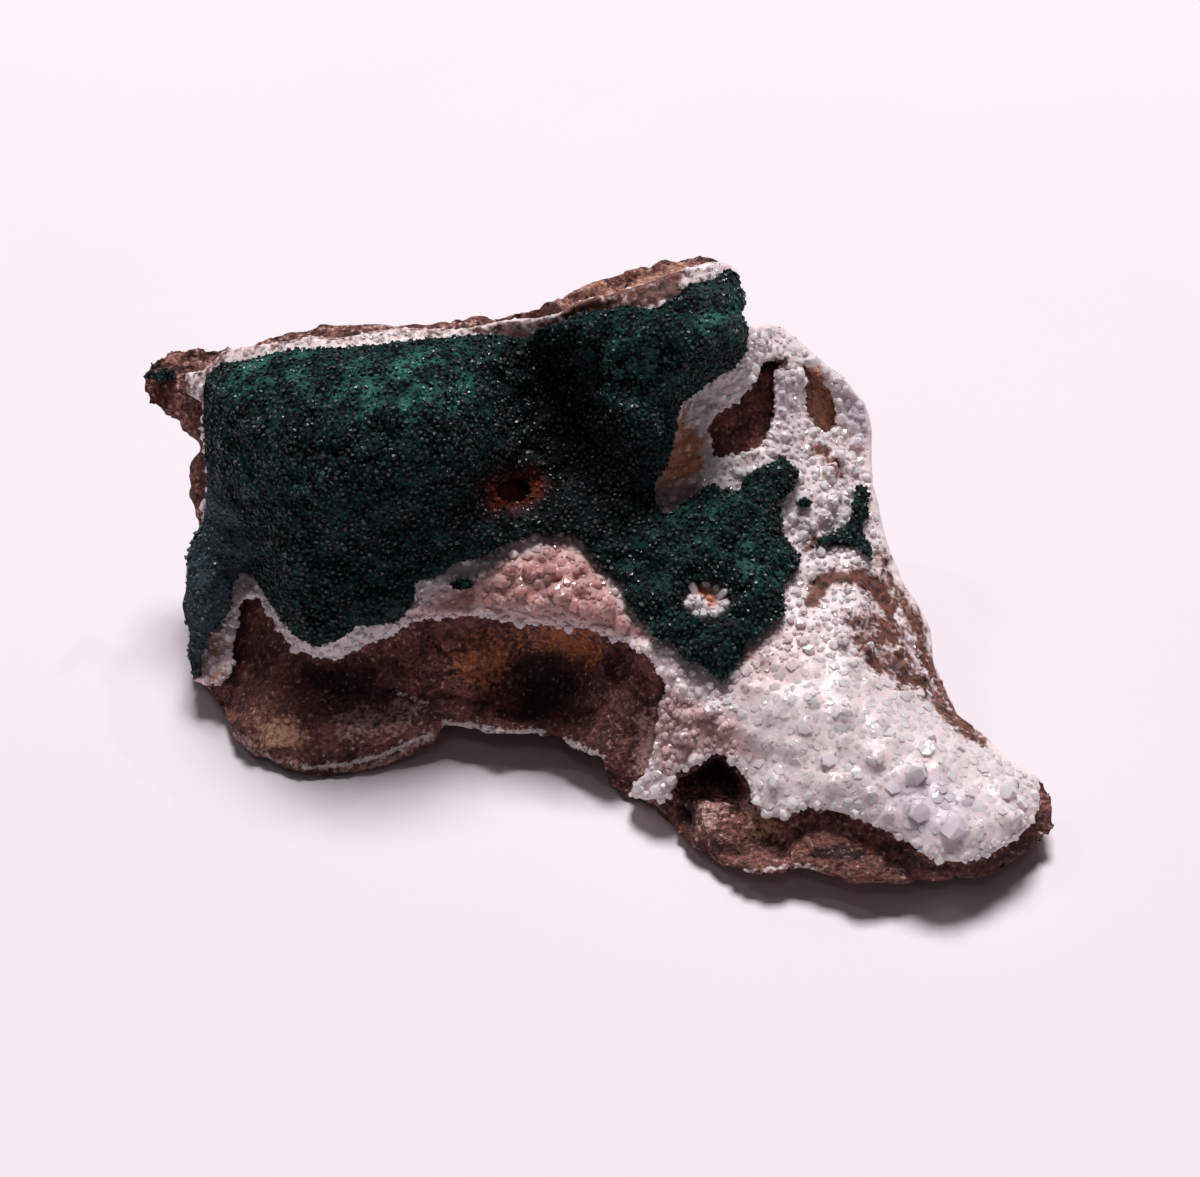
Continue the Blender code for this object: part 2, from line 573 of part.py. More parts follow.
def triangulate(loops, rings, loose, polygon, holes):
    """Triangles over a polygon with holes; gives the spots in the order loops, rings, loose, and the faces."""
    groups = list(loops) + list(rings)
    spots = []
    edges = []
    for group in groups:
        first = len(spots)
        spots += [tuple(spot) for spot in group]
        count = len(group)
        edges += [(first + index, first + (index + 1) % count) for index in range(count)]
    spots += [tuple(spot) for spot in loose]
    result = delaunay_2d_cdt([Vector(spot) for spot in spots], edges, [], 0, 1e-5, True)
    made, _, faces, sources, _, _ = result
    index_of = {}
    for place, source in enumerate(sources):
        if not source:
            raise RuntimeError(f"edges cross near {made[place][:]}")
        index_of[place] = source[0]
    table = np.array(spots)
    faces = np.array([[index_of[corner] for corner in face] for face in faces])
    middle = table[faces].mean(axis=1)
    kept = inside(middle, polygon)
    for hole in holes:
        kept &= ~inside(middle, hole)
    faces = faces[kept]
    a, b, c = (table[faces[:, corner]] for corner in range(3))
    turn = (b[:, 0] - a[:, 0]) * (c[:, 1] - a[:, 1]) - (b[:, 1] - a[:, 1]) * (c[:, 0] - a[:, 0])
    faces[turn > 0] = faces[turn > 0][:, ::-1]
    return table, faces


def walls(faces, offset):
    """Strips that join the front's edges to the same edges of the back, whose numbers are offset."""
    used = {(start, end) for face in faces for start, end in zip(face, np.roll(face, -1))}
    strips = []
    for start, end in sorted(used):
        if (end, start) not in used:
            strips.append((end, start, start + offset))
            strips.append((end, start + offset, end + offset))
    return strips


def solid(name, points, faces):
    """An object from points in millimetres, with its faces turned out."""
    mesh = bpy.data.meshes.new(name)
    mesh.from_pydata([tuple(point * MM) for point in points], [], [tuple(map(int, face)) for face in faces])
    mesh.update()
    thing = bpy.data.objects.new(name, mesh)
    bpy.context.scene.collection.objects.link(thing)
    return thing


def shared_spots():
    """The spots inside the outline that all layers have in common, so that they stay parallel."""
    return scatter(OUTLINE, [], SHARED_STEP, SHARED_MARGIN, SHARED_PATTERN)


def within(spots, polygon, holes, margin, kept_off=()):
    """The spots this far inside a polygon, outside its holes and clear of the kept-off circles."""
    kept = depth_inside(spots, polygon) > margin
    for hole in holes:
        kept &= depth_inside(spots, hole) < -margin
    for x, y, radius in kept_off:
        kept &= np.hypot(spots[:, 0] - x, spots[:, 1] - y) > radius
    return spots[kept]


def apart(fixed, groups):
    """The groups' spots that don't crowd the fixed ones or each other, earlier groups first."""
    taken = np.concatenate(fixed)
    kept = []
    for spot in np.concatenate(groups):
        if np.hypot(*(taken - spot).T).min() > SHARED_MARGIN * CROWDED:
            kept.append(spot)
            taken = np.vstack([taken, spot])
    return np.array(kept)


def build_rock():
    """The brown rock: its front along the sight lines, its broken back, its underside and flats."""
    edge = along(OUTLINE, EDGE_STEP)
    count = len(edge)
    polygon = edge.tolist()
    rim = along(PIT, PIT_RIM_STEP)
    floor_rim = PIT_MIDDLE + (rim - PIT_MIDDLE) * PIT_FLOOR_SIZE
    crusts = (HORN_STRIPE, QUARTZ_SHEET, BARE_TRIANGLE, BARE_TAN_PATCH)
    crust_edges = [along(loop, EDGE_STEP) for loop in crusts]
    loose = apart([edge, rim, floor_rim], crust_edges + [shared_spots()])
    loose = loose[depth_inside(loose, polygon) > SHARED_MARGIN * 0.6]
    front_spots, front = triangulate([edge], [rim, floor_rim], loose, polygon, [])
    front_points = eye() + rock_distance(front_spots)[:, None] * sight_lines(front_spots)
    front_points[:, 2] = np.maximum(front_points[:, 2], LOWEST_FRONT)
    rings = [ring(edge, offset) for offset in BACK_RINGS]
    loose = np.concatenate(rings + [scatter(polygon, [], ROCK_BACK_STEP, ROCK_BACK_STEP, BACK_PATTERN)])
    back_spots, back = triangulate([edge], [], loose, polygon, [])
    back_points = rock_back(back_spots, line_distance(back_spots, polygon, closed=True))
    shared = len(front_points)
    renumbered = np.where(back < count, back, back - count + shared)
    points = np.concatenate([front_points, back_points[count:]])
    return solid("rock_matrix", points, np.concatenate([front, renumbered[:, ::-1]]))


def ring(edge, offset):
    """Spots a given way inside an edge, thinned where they crowd."""
    step = max(offset * 1.15, offset + 2.0)
    way = np.roll(edge, -1, axis=0) - np.roll(edge, 1, axis=0)
    inward = np.column_stack([-way[:, 1], way[:, 0]])
    inward /= np.linalg.norm(inward, axis=1)[:, None]
    spots = edge + inward * offset
    kept = []
    for spot, depth in zip(spots, depth_inside(spots, edge)):
        crowded = any(np.hypot(*(spot - other)) < step * 0.7 for other in kept)
        if depth > offset * 0.75 and not crowded:
            kept.append(spot)
    return np.array(kept)


def point_sites():
    """Where the quartz points stand: x, y and radius in mm."""
    draw = random.Random(5)
    sites = list(LARGEST_POINTS)
    for area, count, least, most in POINT_AREAS:
        corners = np.array(area, float)
        low = corners.min(axis=0)
        high = corners.max(axis=0)
        tries = range(count * POINT_TRIES)
        spots = np.array([[draw.uniform(low[0], high[0]), draw.uniform(low[1], high[1])] for _ in tries])
        radii = np.array([draw.uniform(least, most) for _ in tries])
        room = radii * SPOTS_PER_MM
        fits = (depth_inside(spots, area) > room * 0.5) & clear_of_others(spots, room)
        placed = 0
        for (x, y), radius in zip(spots[fits], radii[fits]):
            near = [math.hypot(x - a, y - b) - (radius + r) * SPOTS_PER_MM for a, b, r in sites]
            if placed < count and min(near) > POINT_SPACE:
                sites.append((x, y, radius))
                placed += 1
    return sites


def clear_of_others(spots, room):
    """Whether points of this size stand clear of the sheet's edges and of the malachite."""
    clear = depth_inside(spots, QUARTZ_SHEET) > room + SHEET_MARGIN
    for other in (BARE_TRIANGLE, BARE_TAN_PATCH, MALACHITE_SHEET, RIGHT_PATCH, SMALL_SPOT, MOUND_SPOT):
        clear &= depth_inside(spots, other) < -(room + POINT_MARGIN)
    return clear


def build_quartz():
    """The quartz crust: one sheet with two windows, its crystal points grown from it."""
    edge = along(QUARTZ_SHEET, EDGE_STEP)
    windows = [along(BARE_TRIANGLE, EDGE_STEP), along(BARE_TAN_PATCH, EDGE_STEP)]
    polygon = edge.tolist()
    holes = [window.tolist() for window in windows]
    draw = random.Random(6)
    rings = []
    tips = []
    leans = []
    kept_off = []
    for x, y, radius in point_sites():
        turn = draw.uniform(0.0, math.tau / POINT_SIDES)
        reach = radius * SPOTS_PER_MM
        lean = (draw.uniform(-1.0, 1.0) * POINT_TILT, draw.uniform(-1.0, 1.0) * POINT_TILT)
        for size in (1.0, POINT_TAPER):
            rings.append(
                [
                    (
                        x + size * reach * math.cos(turn + math.tau * side / POINT_SIDES),
                        y + size * reach * math.sin(turn + math.tau * side / POINT_SIDES),
                    )
                    for side in range(POINT_SIDES)
                ]
            )
        tips.append((x, y))
        leans.append((radius, lean))
        kept_off.append((x, y, reach + POINT_MARGIN))
    shared = within(shared_spots(), polygon, holes, SHARED_MARGIN * 0.8)
    loose = within(shared, polygon, holes, 0.0, kept_off)
    loops = [edge] + windows
    spots, front = triangulate(loops, rings, np.concatenate([np.array(tips), loose]), polygon, holes)
    points = quartz_front(spots)
    raise_points(points, spots, sum(map(len, loops)), leans)
    back_spots, back = triangulate(loops, [], shared, polygon, holes)
    away = skin_distance(back_spots) + stretched(back_spots, QUARTZ_THICKNESS)
    return closed_sheet("quartz_crust", points, front, on_lines(back_spots, away), back)


def quartz_front(spots):
    """The crust's outer face: rough where it is bare, even under the malachite."""
    away = skin_distance(spots)
    start = eye() + away[:, None] * sight_lines(spots)
    bare = smooth_step(-depth_inside(spots, MALACHITE_SHEET), 0.0, 14.0)
    for island in (RIGHT_PATCH, SMALL_SPOT, MOUND_SPOT):
        bare *= smooth_step(-depth_inside(spots, island), 0.0, 10.0)
    grain = rough_layer(start, QUARTZ_ROUGHNESS) + lump_layer(start, QUARTZ_LUMPS)
    under = smooth_step(depth_inside(spots, MALACHITE_SHEET), 2.0, 18.0)
    for hollow in (QUARTZ_KNOT, RUSTY_SPOT):
        under *= smooth_step(-depth_inside(spots, hollow), -2.0, 10.0)
    return on_lines(spots, away - bare * grain + under * QUARTZ_SUNK)


def raise_points(points, spots, first, leans):
    """Lifts each crystal's shoulder ring and tip off the sheet."""
    normals, _ = facing(spots)
    draw = random.Random(7)
    tip_start = first + 2 * POINT_SIDES * len(leans)
    for index, (radius, lean) in enumerate(leans):
        ring_start = first + 2 * POINT_SIDES * index
        shoulders = range(ring_start + POINT_SIDES, ring_start + 2 * POINT_SIDES)
        tip = tip_start + index
        normal = normals[tip]
        side = np.cross(normal, (0.0, 0.0, 1.0))
        side /= np.linalg.norm(side)
        way = normal + lean[0] * side + lean[1] * np.cross(normal, side)
        tall = radius * draw.uniform(POINT_LEAST_HEIGHT, POINT_MOST_HEIGHT)
        for shoulder in shoulders:
            points[shoulder] += way * tall
        points[tip] += way * (tall + POINT_TIP * radius)


def closed_sheet(name, front_points, front, back_points, back):
    """A solid from a front and a back whose edges have the same numbers."""
    offset = len(front_points)
    faces = list(front) + list(back[:, ::-1] + offset) + walls(front, offset)
    return solid(name, np.concatenate([front_points, back_points]), faces)


def build_malachite_sheet():
    """The main malachite crust, lumpy, on the quartz."""
    return malachite_on(
        "malachite_crust",
        MALACHITE_SHEET,
        [QUARTZ_KNOT, RUSTY_SPOT],
        MALACHITE_THICKNESS,
        MALACHITE_STEP,
        SHEET_PATTERN,
    )


def malachite_on(name, outline, hollows, thickness, step, seed, base=skin_distance, gap=GAP):
    """A sheet of malachite over a base: rounded down at its edges, swollen in lumps between."""
    edge = along(outline, step)
    holes = [along(hollow, step) for hollow in hollows]
    polygon = edge.tolist()
    hole_lists = [hole.tolist() for hole in holes]
    loose = scatter(polygon, hole_lists, step, step * 0.5, seed)
    loops = [edge] + holes
    spots, front = triangulate(loops, [], loose, polygon, hole_lists)
    start = eye() + base(spots)[:, None] * sight_lines(spots)
    deep = line_distance(spots, polygon, closed=True)
    for hole in hole_lists:
        deep = np.minimum(deep, line_distance(spots, hole, closed=True))
    crown = EDGE_CROWN + (1.0 - EDGE_CROWN) * smooth_step(deep, 0.0, CROWN_WIDTH * step)
    swell = lump_layer(start, MALACHITE_LUMPS) * smooth_step(deep, 0.0, step)
    rise = gap + stretched(spots, 1.0) * (thickness * crown + swell)
    front_points = on_lines(spots, base(spots) - rise)
    back_loose = within(shared_spots(), polygon, hole_lists, SHARED_MARGIN * 0.6)
    back_spots, back = triangulate(loops, [], back_loose, polygon, hole_lists)
    back_points = on_lines(back_spots, base(back_spots) - gap)
    return closed_sheet(name, front_points, front, back_points, back)


def finish(name, colour, roughness):
    """A material of one colour, not a metal."""
    material = bpy.data.materials.new(name)
    material.use_nodes = True
    shader = material.node_tree.nodes["Principled BSDF"]
    shader.inputs["Base Color"].default_value = (*colour, 1.0)
    shader.inputs["Roughness"].default_value = roughness
    shader.inputs["Metallic"].default_value = 0.0
    material.diffuse_color = (*colour, 1.0)
    return material


def dress_rock(rock):
    """Brown, earthy host rock."""
    rock.data.materials.append(finish("brown_rock", ROCK_COLOUR, ROCK_GLOSS))


def dress_quartz(quartz):
    """Pale quartz."""
    quartz.data.materials.append(finish("quartz_druse", QUARTZ_COLOUR, QUARTZ_GLOSS))


def dress_malachite(things):
    """Dark green malachite, smooth over its lumps."""
    green = finish("malachite_velvet", MALACHITE_COLOUR, MALACHITE_GLOSS)
    for thing in things:
        thing.data.materials.append(green)
        thing.data.shade_smooth()


def stand_on_origin(things):
    """Moves the specimen so that the middle of its lowest side is the origin."""
    corners = np.array([tuple(vertex.co) for thing in things for vertex in thing.data.vertices])
    low = corners.min(axis=0)
    high = corners.max(axis=0)
    shift = Vector((-(low[0] + high[0]) / 2, -(low[1] + high[1]) / 2, -low[2]))
    for thing in things:
        for vertex in thing.data.vertices:
            vertex.co += shift
    return shift


def build_patches():
    """The small separate patches of malachite on the quartz."""
    return [
        malachite_on(name, outline, [], PATCH_THICKNESS, PATCH_STEP, pattern)
        for name, outline, pattern in PATCHES
    ]


def build_horn_stripe():
    """The stripe of malachite across the horn, straight on the rock."""
    return malachite_on(
        "malachite_horn_stripe",
        HORN_STRIPE,
        [],
        PATCH_THICKNESS,
        PATCH_STEP,
        STRIPE_PATTERN,
        rock_distance,
        STRIPE_GAP,
    )


def main():
    """Builds and dresses the specimen; gives how far it was moved to stand on the origin."""
    clear_scene()
    rock = build_rock()
    quartz = build_quartz()
    greens = [build_malachite_sheet()] + build_patches() + [build_horn_stripe()]
    dress_rock(rock)
    dress_quartz(quartz)
    dress_malachite(greens)
    return stand_on_origin([rock, quartz] + greens)


PLACED = main()
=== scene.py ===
"""The looks of a specimen of ball malachite on quartz: brown rock, quartz, malachite and a plain studio.

The model's solids give every form. Each one is refined here into a fine mesh, roughened, sown with crystals
or grains, and dressed. Places on the specimen are named by spots, the pixels of a 1200 by 1177 view of it,
and a spot is carried to the surface along its sight line. Lengths are millimetres until a mesh is made.
"""

from __future__ import annotations

import logging
import math
from dataclasses import dataclass, field
from enum import Enum
from typing import Any, Iterable

import bmesh
import bpy
import numpy as np
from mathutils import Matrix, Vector

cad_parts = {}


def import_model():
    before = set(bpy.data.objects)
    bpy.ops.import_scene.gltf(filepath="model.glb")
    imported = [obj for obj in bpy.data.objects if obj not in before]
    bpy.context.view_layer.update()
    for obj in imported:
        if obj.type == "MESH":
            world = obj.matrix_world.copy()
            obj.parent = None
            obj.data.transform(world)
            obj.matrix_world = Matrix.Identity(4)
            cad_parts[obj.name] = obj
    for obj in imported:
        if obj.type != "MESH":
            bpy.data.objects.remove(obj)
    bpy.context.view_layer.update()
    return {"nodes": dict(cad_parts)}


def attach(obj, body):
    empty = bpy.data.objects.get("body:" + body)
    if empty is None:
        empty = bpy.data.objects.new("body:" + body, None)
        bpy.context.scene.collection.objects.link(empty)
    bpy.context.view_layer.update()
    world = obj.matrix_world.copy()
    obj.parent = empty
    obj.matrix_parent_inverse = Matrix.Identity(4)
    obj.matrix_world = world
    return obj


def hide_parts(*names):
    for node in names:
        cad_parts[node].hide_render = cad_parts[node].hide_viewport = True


Array = np.ndarray
Spot = tuple[float, float]
Colour = tuple[float, float, float, float]
Thing = bpy.types.Object
Socket = bpy.types.NodeSocket

MM = 0.001
BODY = "root"
LOG = logging.getLogger("specimen")


def paint(red: int, green: int, blue: int) -> Colour:
    """A colour for a shader.

    Args:
        red: The red share as a screen value from 0 to 255.
        green: The green share.
        blue: The blue share.

    Returns:
        The same colour in linear light, opaque.
    """
    shares = [value / 255.0 for value in (red, green, blue)]
    linear = [share / 12.92 if share <= 0.04045 else ((share + 0.055) / 1.055) ** 2.4 for share in shares]
    return (linear[0], linear[1], linear[2], 1.0)


def smooth_step(value: Array, low: float, high: float) -> Array:
    """0 below low, 1 above high, smooth between.

    Args:
        value: The numbers to map.
        low: Where the rise starts.
        high: Where it ends.

    Returns:
        One number from 0 to 1 for each value.
    """
    part = np.clip((value - low) / (high - low), 0.0, 1.0)
    return part * part * (3.0 - 2.0 * part)


def unit(vectors: Array) -> Array:
    """The vectors at length 1."""
    return vectors / np.maximum(np.linalg.norm(vectors, axis=1), 1e-12)[:, None]


@dataclass(frozen=True)
class Viewpoint:
    """Where the specimen is seen from, and the way between spots and points in space.

    Attributes:
        centre: The spot that the view is aimed at.
        focal: The view's focal length in pixels.
        width: The view's width in pixels.
        down: How far the view looks down, in radians.
        distance: From the eye to the point it is aimed at.
        aim: That point.
        film: The camera's sensor width.
    """

    centre: Spot = (600.0, 588.5)
    focal: float = 2360.0
    width: float = 1200.0
    down: float = math.radians(42.0)
    distance: float = 155.0
    aim: tuple[float, float, float] = (0.789, -1.1226, 12.0)
    film: float = 36.0

    def eye(self) -> Array:
        """The eye's place."""
        back = self.distance * math.cos(self.down)
        up = self.distance * math.sin(self.down)
        return np.array(self.aim) + np.array([0.0, -back, up])

    def spots_of(self, points: Array) -> Array:
        """The spot that each point is seen at.

        Args:
            points: Points in space, one a row.

        Returns:
            The spots, one a row.
        """
        away = points - self.eye()
        sine = math.sin(self.down)
        cosine = math.cos(self.down)
        above = away[:, 1] * sine + away[:, 2] * cosine
        deep = away[:, 1] * cosine - away[:, 2] * sine
        across = self.centre[0] + self.focal * away[:, 0] / deep
        return np.column_stack([across, self.centre[1] - self.focal * above / deep])

    def lines_to(self, points: Array) -> Array:
        """Unit vectors from the eye to the points."""
        return unit(points - self.eye())

    def add_camera(self) -> None:
        """Puts the scene's camera at the eye."""
        camera = bpy.data.cameras.new("view")
        camera.sensor_width = self.film
        camera.lens = self.film * self.focal / self.width
        camera.clip_start = 0.01
        camera.clip_end = 20.0
        thing = bpy.data.objects.new("view", camera)
        thing.location = Vector(self.eye()) * MM
        thing.rotation_euler = (math.pi / 2.0 - self.down, 0.0, 0.0)
        bpy.context.scene.collection.objects.link(thing)
        bpy.context.scene.camera = thing


@dataclass(frozen=True)
class Trace:
    """A line of spots, open or closed.

    Attributes:
        spots: The line's corners in order.
        closed: Whether the last corner joins the first.
    """

    spots: tuple[Spot, ...]
    closed: bool = False

    def distance(self, at: Array) -> Array:
        """How far each spot is from the line.

        Args:
            at: The spots.

        Returns:
            One distance for each spot.
        """
        corners = np.array(self.spots, float)
        ends = np.roll(corners, -1, axis=0) if self.closed else corners[1:]
        nearest = np.full(len(at), np.inf)
        for start, end in zip(corners, ends):
            way = end - start
            along = np.clip(((at - start) @ way) / max(way @ way, 1e-9), 0.0, 1.0)
            nearest = np.minimum(nearest, np.linalg.norm(at - (start + along[:, None] * way), axis=1))
        return nearest

    def near(self, at: Array, width: float) -> Array:
        """1 on the line, falling off over about the width.

        Args:
            at: The spots.
            width: The half width of the fall.

        Returns:
            One number from 0 to 1 for each spot.
        """
        return np.exp(-((self.distance(at) / width) ** 2))


@dataclass(frozen=True)
class Region(Trace):
    """A closed field of spots."""

    closed: bool = True

    def contains(self, at: Array) -> Array:
        """Whether each spot is in the field.

        Args:
            at: The spots.

        Returns:
            True or false for each spot.
        """
        corners = np.array(self.spots, float)
        found = np.zeros(len(at), bool)
        for (x0, y0), (x1, y1) in zip(corners, np.roll(corners, -1, axis=0)):
            spans = (y0 > at[:, 1]) != (y1 > at[:, 1])
            rise = y1 - y0 if y1 != y0 else 1e-9
            found ^= spans & (at[:, 0] < (x1 - x0) * (at[:, 1] - y0) / rise + x0)
        return found

    def depth(self, at: Array) -> Array:
        """Distance to the field's edge, positive inside."""
        return np.where(self.contains(at), 1.0, -1.0) * self.distance(at)

    def share(self, at: Array, soft: float) -> Array:
        """1 inside the field and 0 outside, with a soft edge.

        Args:
            at: The spots.
            soft: Half the width of the edge.

        Returns:
            One number from 0 to 1 for each spot.
        """
        return smooth_step(self.depth(at), -soft, soft)


@dataclass(frozen=True)
class Mark:
    """A field or a line that carries one tone.

    Attributes:
        trace: The field or the line.
        soft: Half the width of a field's edge, or a line's half width.
        strength: How strong the tone is at most.
    """

    trace: Trace
    soft: float
    strength: float = 1.0

    def share(self, at: Array) -> Array:
        """The tone's strength at each spot."""
        form = self.trace.share if isinstance(self.trace, Region) else self.trace.near
        return form(at, self.soft) * self.strength


def area(soft: float, strength: float, *spots: Spot) -> Mark:
    """A mark on a field with these corners."""
    return Mark(Region(spots), soft, strength)


def line(width: float, strength: float, *spots: Spot) -> Mark:
    """A mark on a line through these spots."""
    return Mark(Trace(spots), width, strength)


def strongest(marks: Iterable[Mark], at: Array) -> Array:
    """At each spot the strength of the mark that is strongest there."""
    return np.maximum.reduce([mark.share(at) for mark in marks])


def random_share(cells: Array, seed: int) -> Array:
    """A steady random number for each cell of a grid.

    Args:
        cells: Whole-number places, one a row.
        seed: Which set of numbers.

    Returns:
        One number from 0 to 1 for each cell.
    """
    x, y, z = (cells[:, axis].astype(np.int64) for axis in range(3))
    mixed = x * 374761393 + y * 668265263 + z * 1442695041 + seed * 1274126177
    mixed = (mixed ^ (mixed >> 13)) * 1274126177
    mixed = (mixed ^ (mixed >> 16)) * 668265263
    return ((mixed ^ (mixed >> 15)) & 0xFFFFFF) / float(0x1000000)


def soft_noise(points: Array, size: float, seed: int) -> Array:
    """Smooth noise.

    Args:
        points: Points in space.
        size: The size of a swelling.
        seed: Which field.

    Returns:
        One number from -1 to 1 for each point.
    """
    place = points / size
    base = np.floor(place)
    part = place - base
    fade = part * part * part * (part * (part * 6.0 - 15.0) + 10.0)
    total = np.zeros(len(points))
    for corner in np.ndindex(2, 2, 2):
        step = np.array(corner)
        weight = np.prod(np.where(step == 1, fade, 1.0 - fade), axis=1)
        total += weight * random_share(base + step, seed)
    return total * 2.0 - 1.0


def layered_noise(points: Array, size: float, layers: int, seed: int) -> Array:
    """Noise of several sizes, each layer half the size and strength of the last.

    Args:
        points: Points in space.
        size: The size of the largest swelling.
        layers: How many layers.
        seed: Which field.

    Returns:
        One number from about -1 to 1 for each point.
    """
    total = np.zeros(len(points))
    strength = 1.0
    for layer in range(layers):
        total += strength * soft_noise(points, size * 0.5**layer, seed + layer)
        strength *= 0.5
    return total / (2.0 - 2.0 * 0.5**layers)


@dataclass(frozen=True)
class Cells:
    """Rounded cells with one random middle in each cube of a grid.

    Attributes:
        size: The grid's step.
        seed: Which field.
    """

    size: float
    seed: int

    def measure(self, points: Array) -> tuple[Array, Array, Array]:
        """Where the points lie in the cells.

        Args:
            points: Points in space.

        Returns:
            The distance to the nearest middle and to the next one, as shares of the size, and the nearest
            cell's own random number.
        """
        place = points / self.size
        base = np.floor(place)
        first = np.full(len(points), np.inf)
        second = np.full(len(points), np.inf)
        own = np.zeros(len(points))
        for shift in np.ndindex(3, 3, 3):
            cell = base + np.array(shift) - 1.0
            middle = cell + np.column_stack([random_share(cell, self.seed + axis) for axis in range(3)])
            away = np.linalg.norm(middle - place, axis=1)
            closer = away < first
            second = np.where(closer, first, np.minimum(second, away))
            own = np.where(closer, random_share(cell, self.seed + 7), own)
            first = np.minimum(first, away)
        return first, second, own

    def domes(self, points: Array) -> Array:
        """1 at a cell's middle, 0 on the seams between cells."""
        first, second, _ = self.measure(points)
        return 1.0 - (first / np.maximum(second, 1e-6)) ** 2


class Skin:
    """One mesh's vertices as arrays: points in millimetres, normals, spots, and how far they face the eye."""

    def __init__(self, thing: Thing, view: Viewpoint) -> None:
        """Reads the mesh.

        Args:
            thing: The object whose mesh it is.
            view: The viewpoint that its spots belong to.
        """
        self.thing = thing
        self.view = view
        self.points = np.empty((0, 3))
        self.normals = np.empty((0, 3))
        self.spots = np.empty((0, 2))
        self.facing = np.empty(0)
        self.read()

    def read(self) -> None:
        """Takes the vertices from the mesh."""
        mesh = self.thing.data
        flat = np.empty(len(mesh.vertices) * 3, np.float32)
        mesh.vertices.foreach_get("co", flat)
        self.points = flat.reshape(-1, 3).astype(float) / MM
        mesh.vertex_normals.foreach_get("vector", flat)
        self.normals = flat.reshape(-1, 3).astype(float)
        self.spots = self.view.spots_of(self.points)
        self.facing = -(self.normals * self.view.lines_to(self.points)).sum(axis=1)

    def place(self, points: Array) -> None:
        """Puts the vertices at new points.

        Args:
            points: One point for each vertex.
        """
        mesh = self.thing.data
        mesh.vertices.foreach_set("co", (points * MM).astype(np.float32).ravel())
        mesh.update()
        self.read()

    def raise_by(self, heights: Array) -> None:
        """Moves each vertex out along its normal."""
        self.place(self.points + self.normals * heights[:, None])

    def sink_back(self, depth: float) -> None:
        """Sinks what is turned away from the eye into the rock, so that no gap shows.

        Args:
            depth: How far it sinks at most.
        """
        away = smooth_step(-self.facing, 0.0, 0.5) * smooth_step(OUTLINE.depth(self.spots), 0.0, 22.0)
        self.place(self.points + self.view.lines_to(self.points) * (depth * away)[:, None])

    def ease(self, rounds: int, share: Array) -> None:
        """Smooths the skin where the share says.

        Args:
            rounds: How many times each vertex moves towards its neighbours.
            share: How much of each move is made, for each vertex.
        """
        mesh = self.thing.data
        flat = np.empty(len(mesh.edges) * 2, np.int32)
        mesh.edges.foreach_get("vertices", flat)
        ends = np.vstack([flat.reshape(-1, 2), flat.reshape(-1, 2)[:, ::-1]])
        count = len(self.points)
        degree = np.maximum(np.bincount(ends[:, 0], minlength=count), 1)
        points = self.points.copy()
        for _ in range(rounds):
            sums = [np.bincount(ends[:, 0], points[ends[:, 1], axis], minlength=count) for axis in range(3)]
            points += (np.column_stack(sums) / degree[:, None] - points) * share[:, None]
        self.place(points)

    def seen(self) -> Array:
        """1 where the surface faces the eye, 0 where it is turned away."""
        return smooth_step(self.facing, -0.05, 0.2)

    def store(self, name: str, values: Array) -> None:
        """Keeps one number a vertex, for the finish to read.

        Args:
            name: The mask's name.
            values: One number for each vertex.
        """
        layer = self.thing.data.attributes.new(name, "FLOAT", "POINT")
        layer.data.foreach_set("value", values.astype(np.float32))


def new_thing(name: str, mesh: bpy.types.Mesh) -> Thing:
    """An object in the scene for a mesh.

    Args:
        name: The object's name.
        mesh: The mesh.

    Returns:
        The object.
    """
    thing = bpy.data.objects.new(name, mesh)
    bpy.context.scene.collection.objects.link(thing)
    return thing


def refined(node: Thing, name: str, step: float) -> Thing:
    """A fine, even copy of one of the model's solids.

    Args:
        node: The solid's object.
        name: The copy's name.
        step: The copy's mesh spacing.

    Returns:
        The copy, as one closed mesh.
    """
    form = bmesh.new()
    form.from_mesh(node.data)
    bmesh.ops.remove_doubles(form, verts=form.verts, dist=MM * 0.001)
    mesh = bpy.data.meshes.new(name)
    form.to_mesh(mesh)
    form.free()
    thing = new_thing(name, mesh)
    remesh = thing.modifiers.new("even", "REMESH")
    remesh.mode = "VOXEL"
    remesh.voxel_size = step * MM
    remesh.use_smooth_shade = True
    fine = bpy.data.meshes.new_from_object(thing.evaluated_get(bpy.context.evaluated_depsgraph_get()))
    thing.modifiers.clear()
    thing.data = fine
    fine.name = name
    bpy.data.meshes.remove(mesh)
    return thing


@dataclass(frozen=True)
class Sites:
    """Places on a skin where crystals or grains grow.

    Attributes:
        points: Where each one stands.
        normals: The way out of the skin there.
    """

    points: Array
    normals: Array


def spread(skin: Skin, allowed: Array, spacing: float, random: np.random.Generator) -> Sites:
    """Vertices of a skin with a least distance between them, in random order.

    Args:
        skin: The skin that they stand on.
        allowed: Which vertices may be taken.
        spacing: The least distance.
        random: The source of the order.

    Returns:
        The sites.
    """
    taken: dict[tuple[int, int, int], list[int]] = {}
    chosen: list[int] = []
    places = skin.points / spacing
    cubes = np.floor(places).astype(int)
    order = random.permutation(np.flatnonzero(allowed))
    around = [np.array(shift) - 1 for shift in np.ndindex(3, 3, 3)]
    for index in order:
        cube = cubes[index]
        near = [other for shift in around for other in taken.get(tuple(cube + shift), ())]
        if near and (((places[near] - places[index]) ** 2).sum(axis=1) < 1.0).any():
            continue
        taken.setdefault(tuple(cube), []).append(int(index))
        chosen.append(int(index))
    return Sites(skin.points[chosen], skin.normals[chosen])


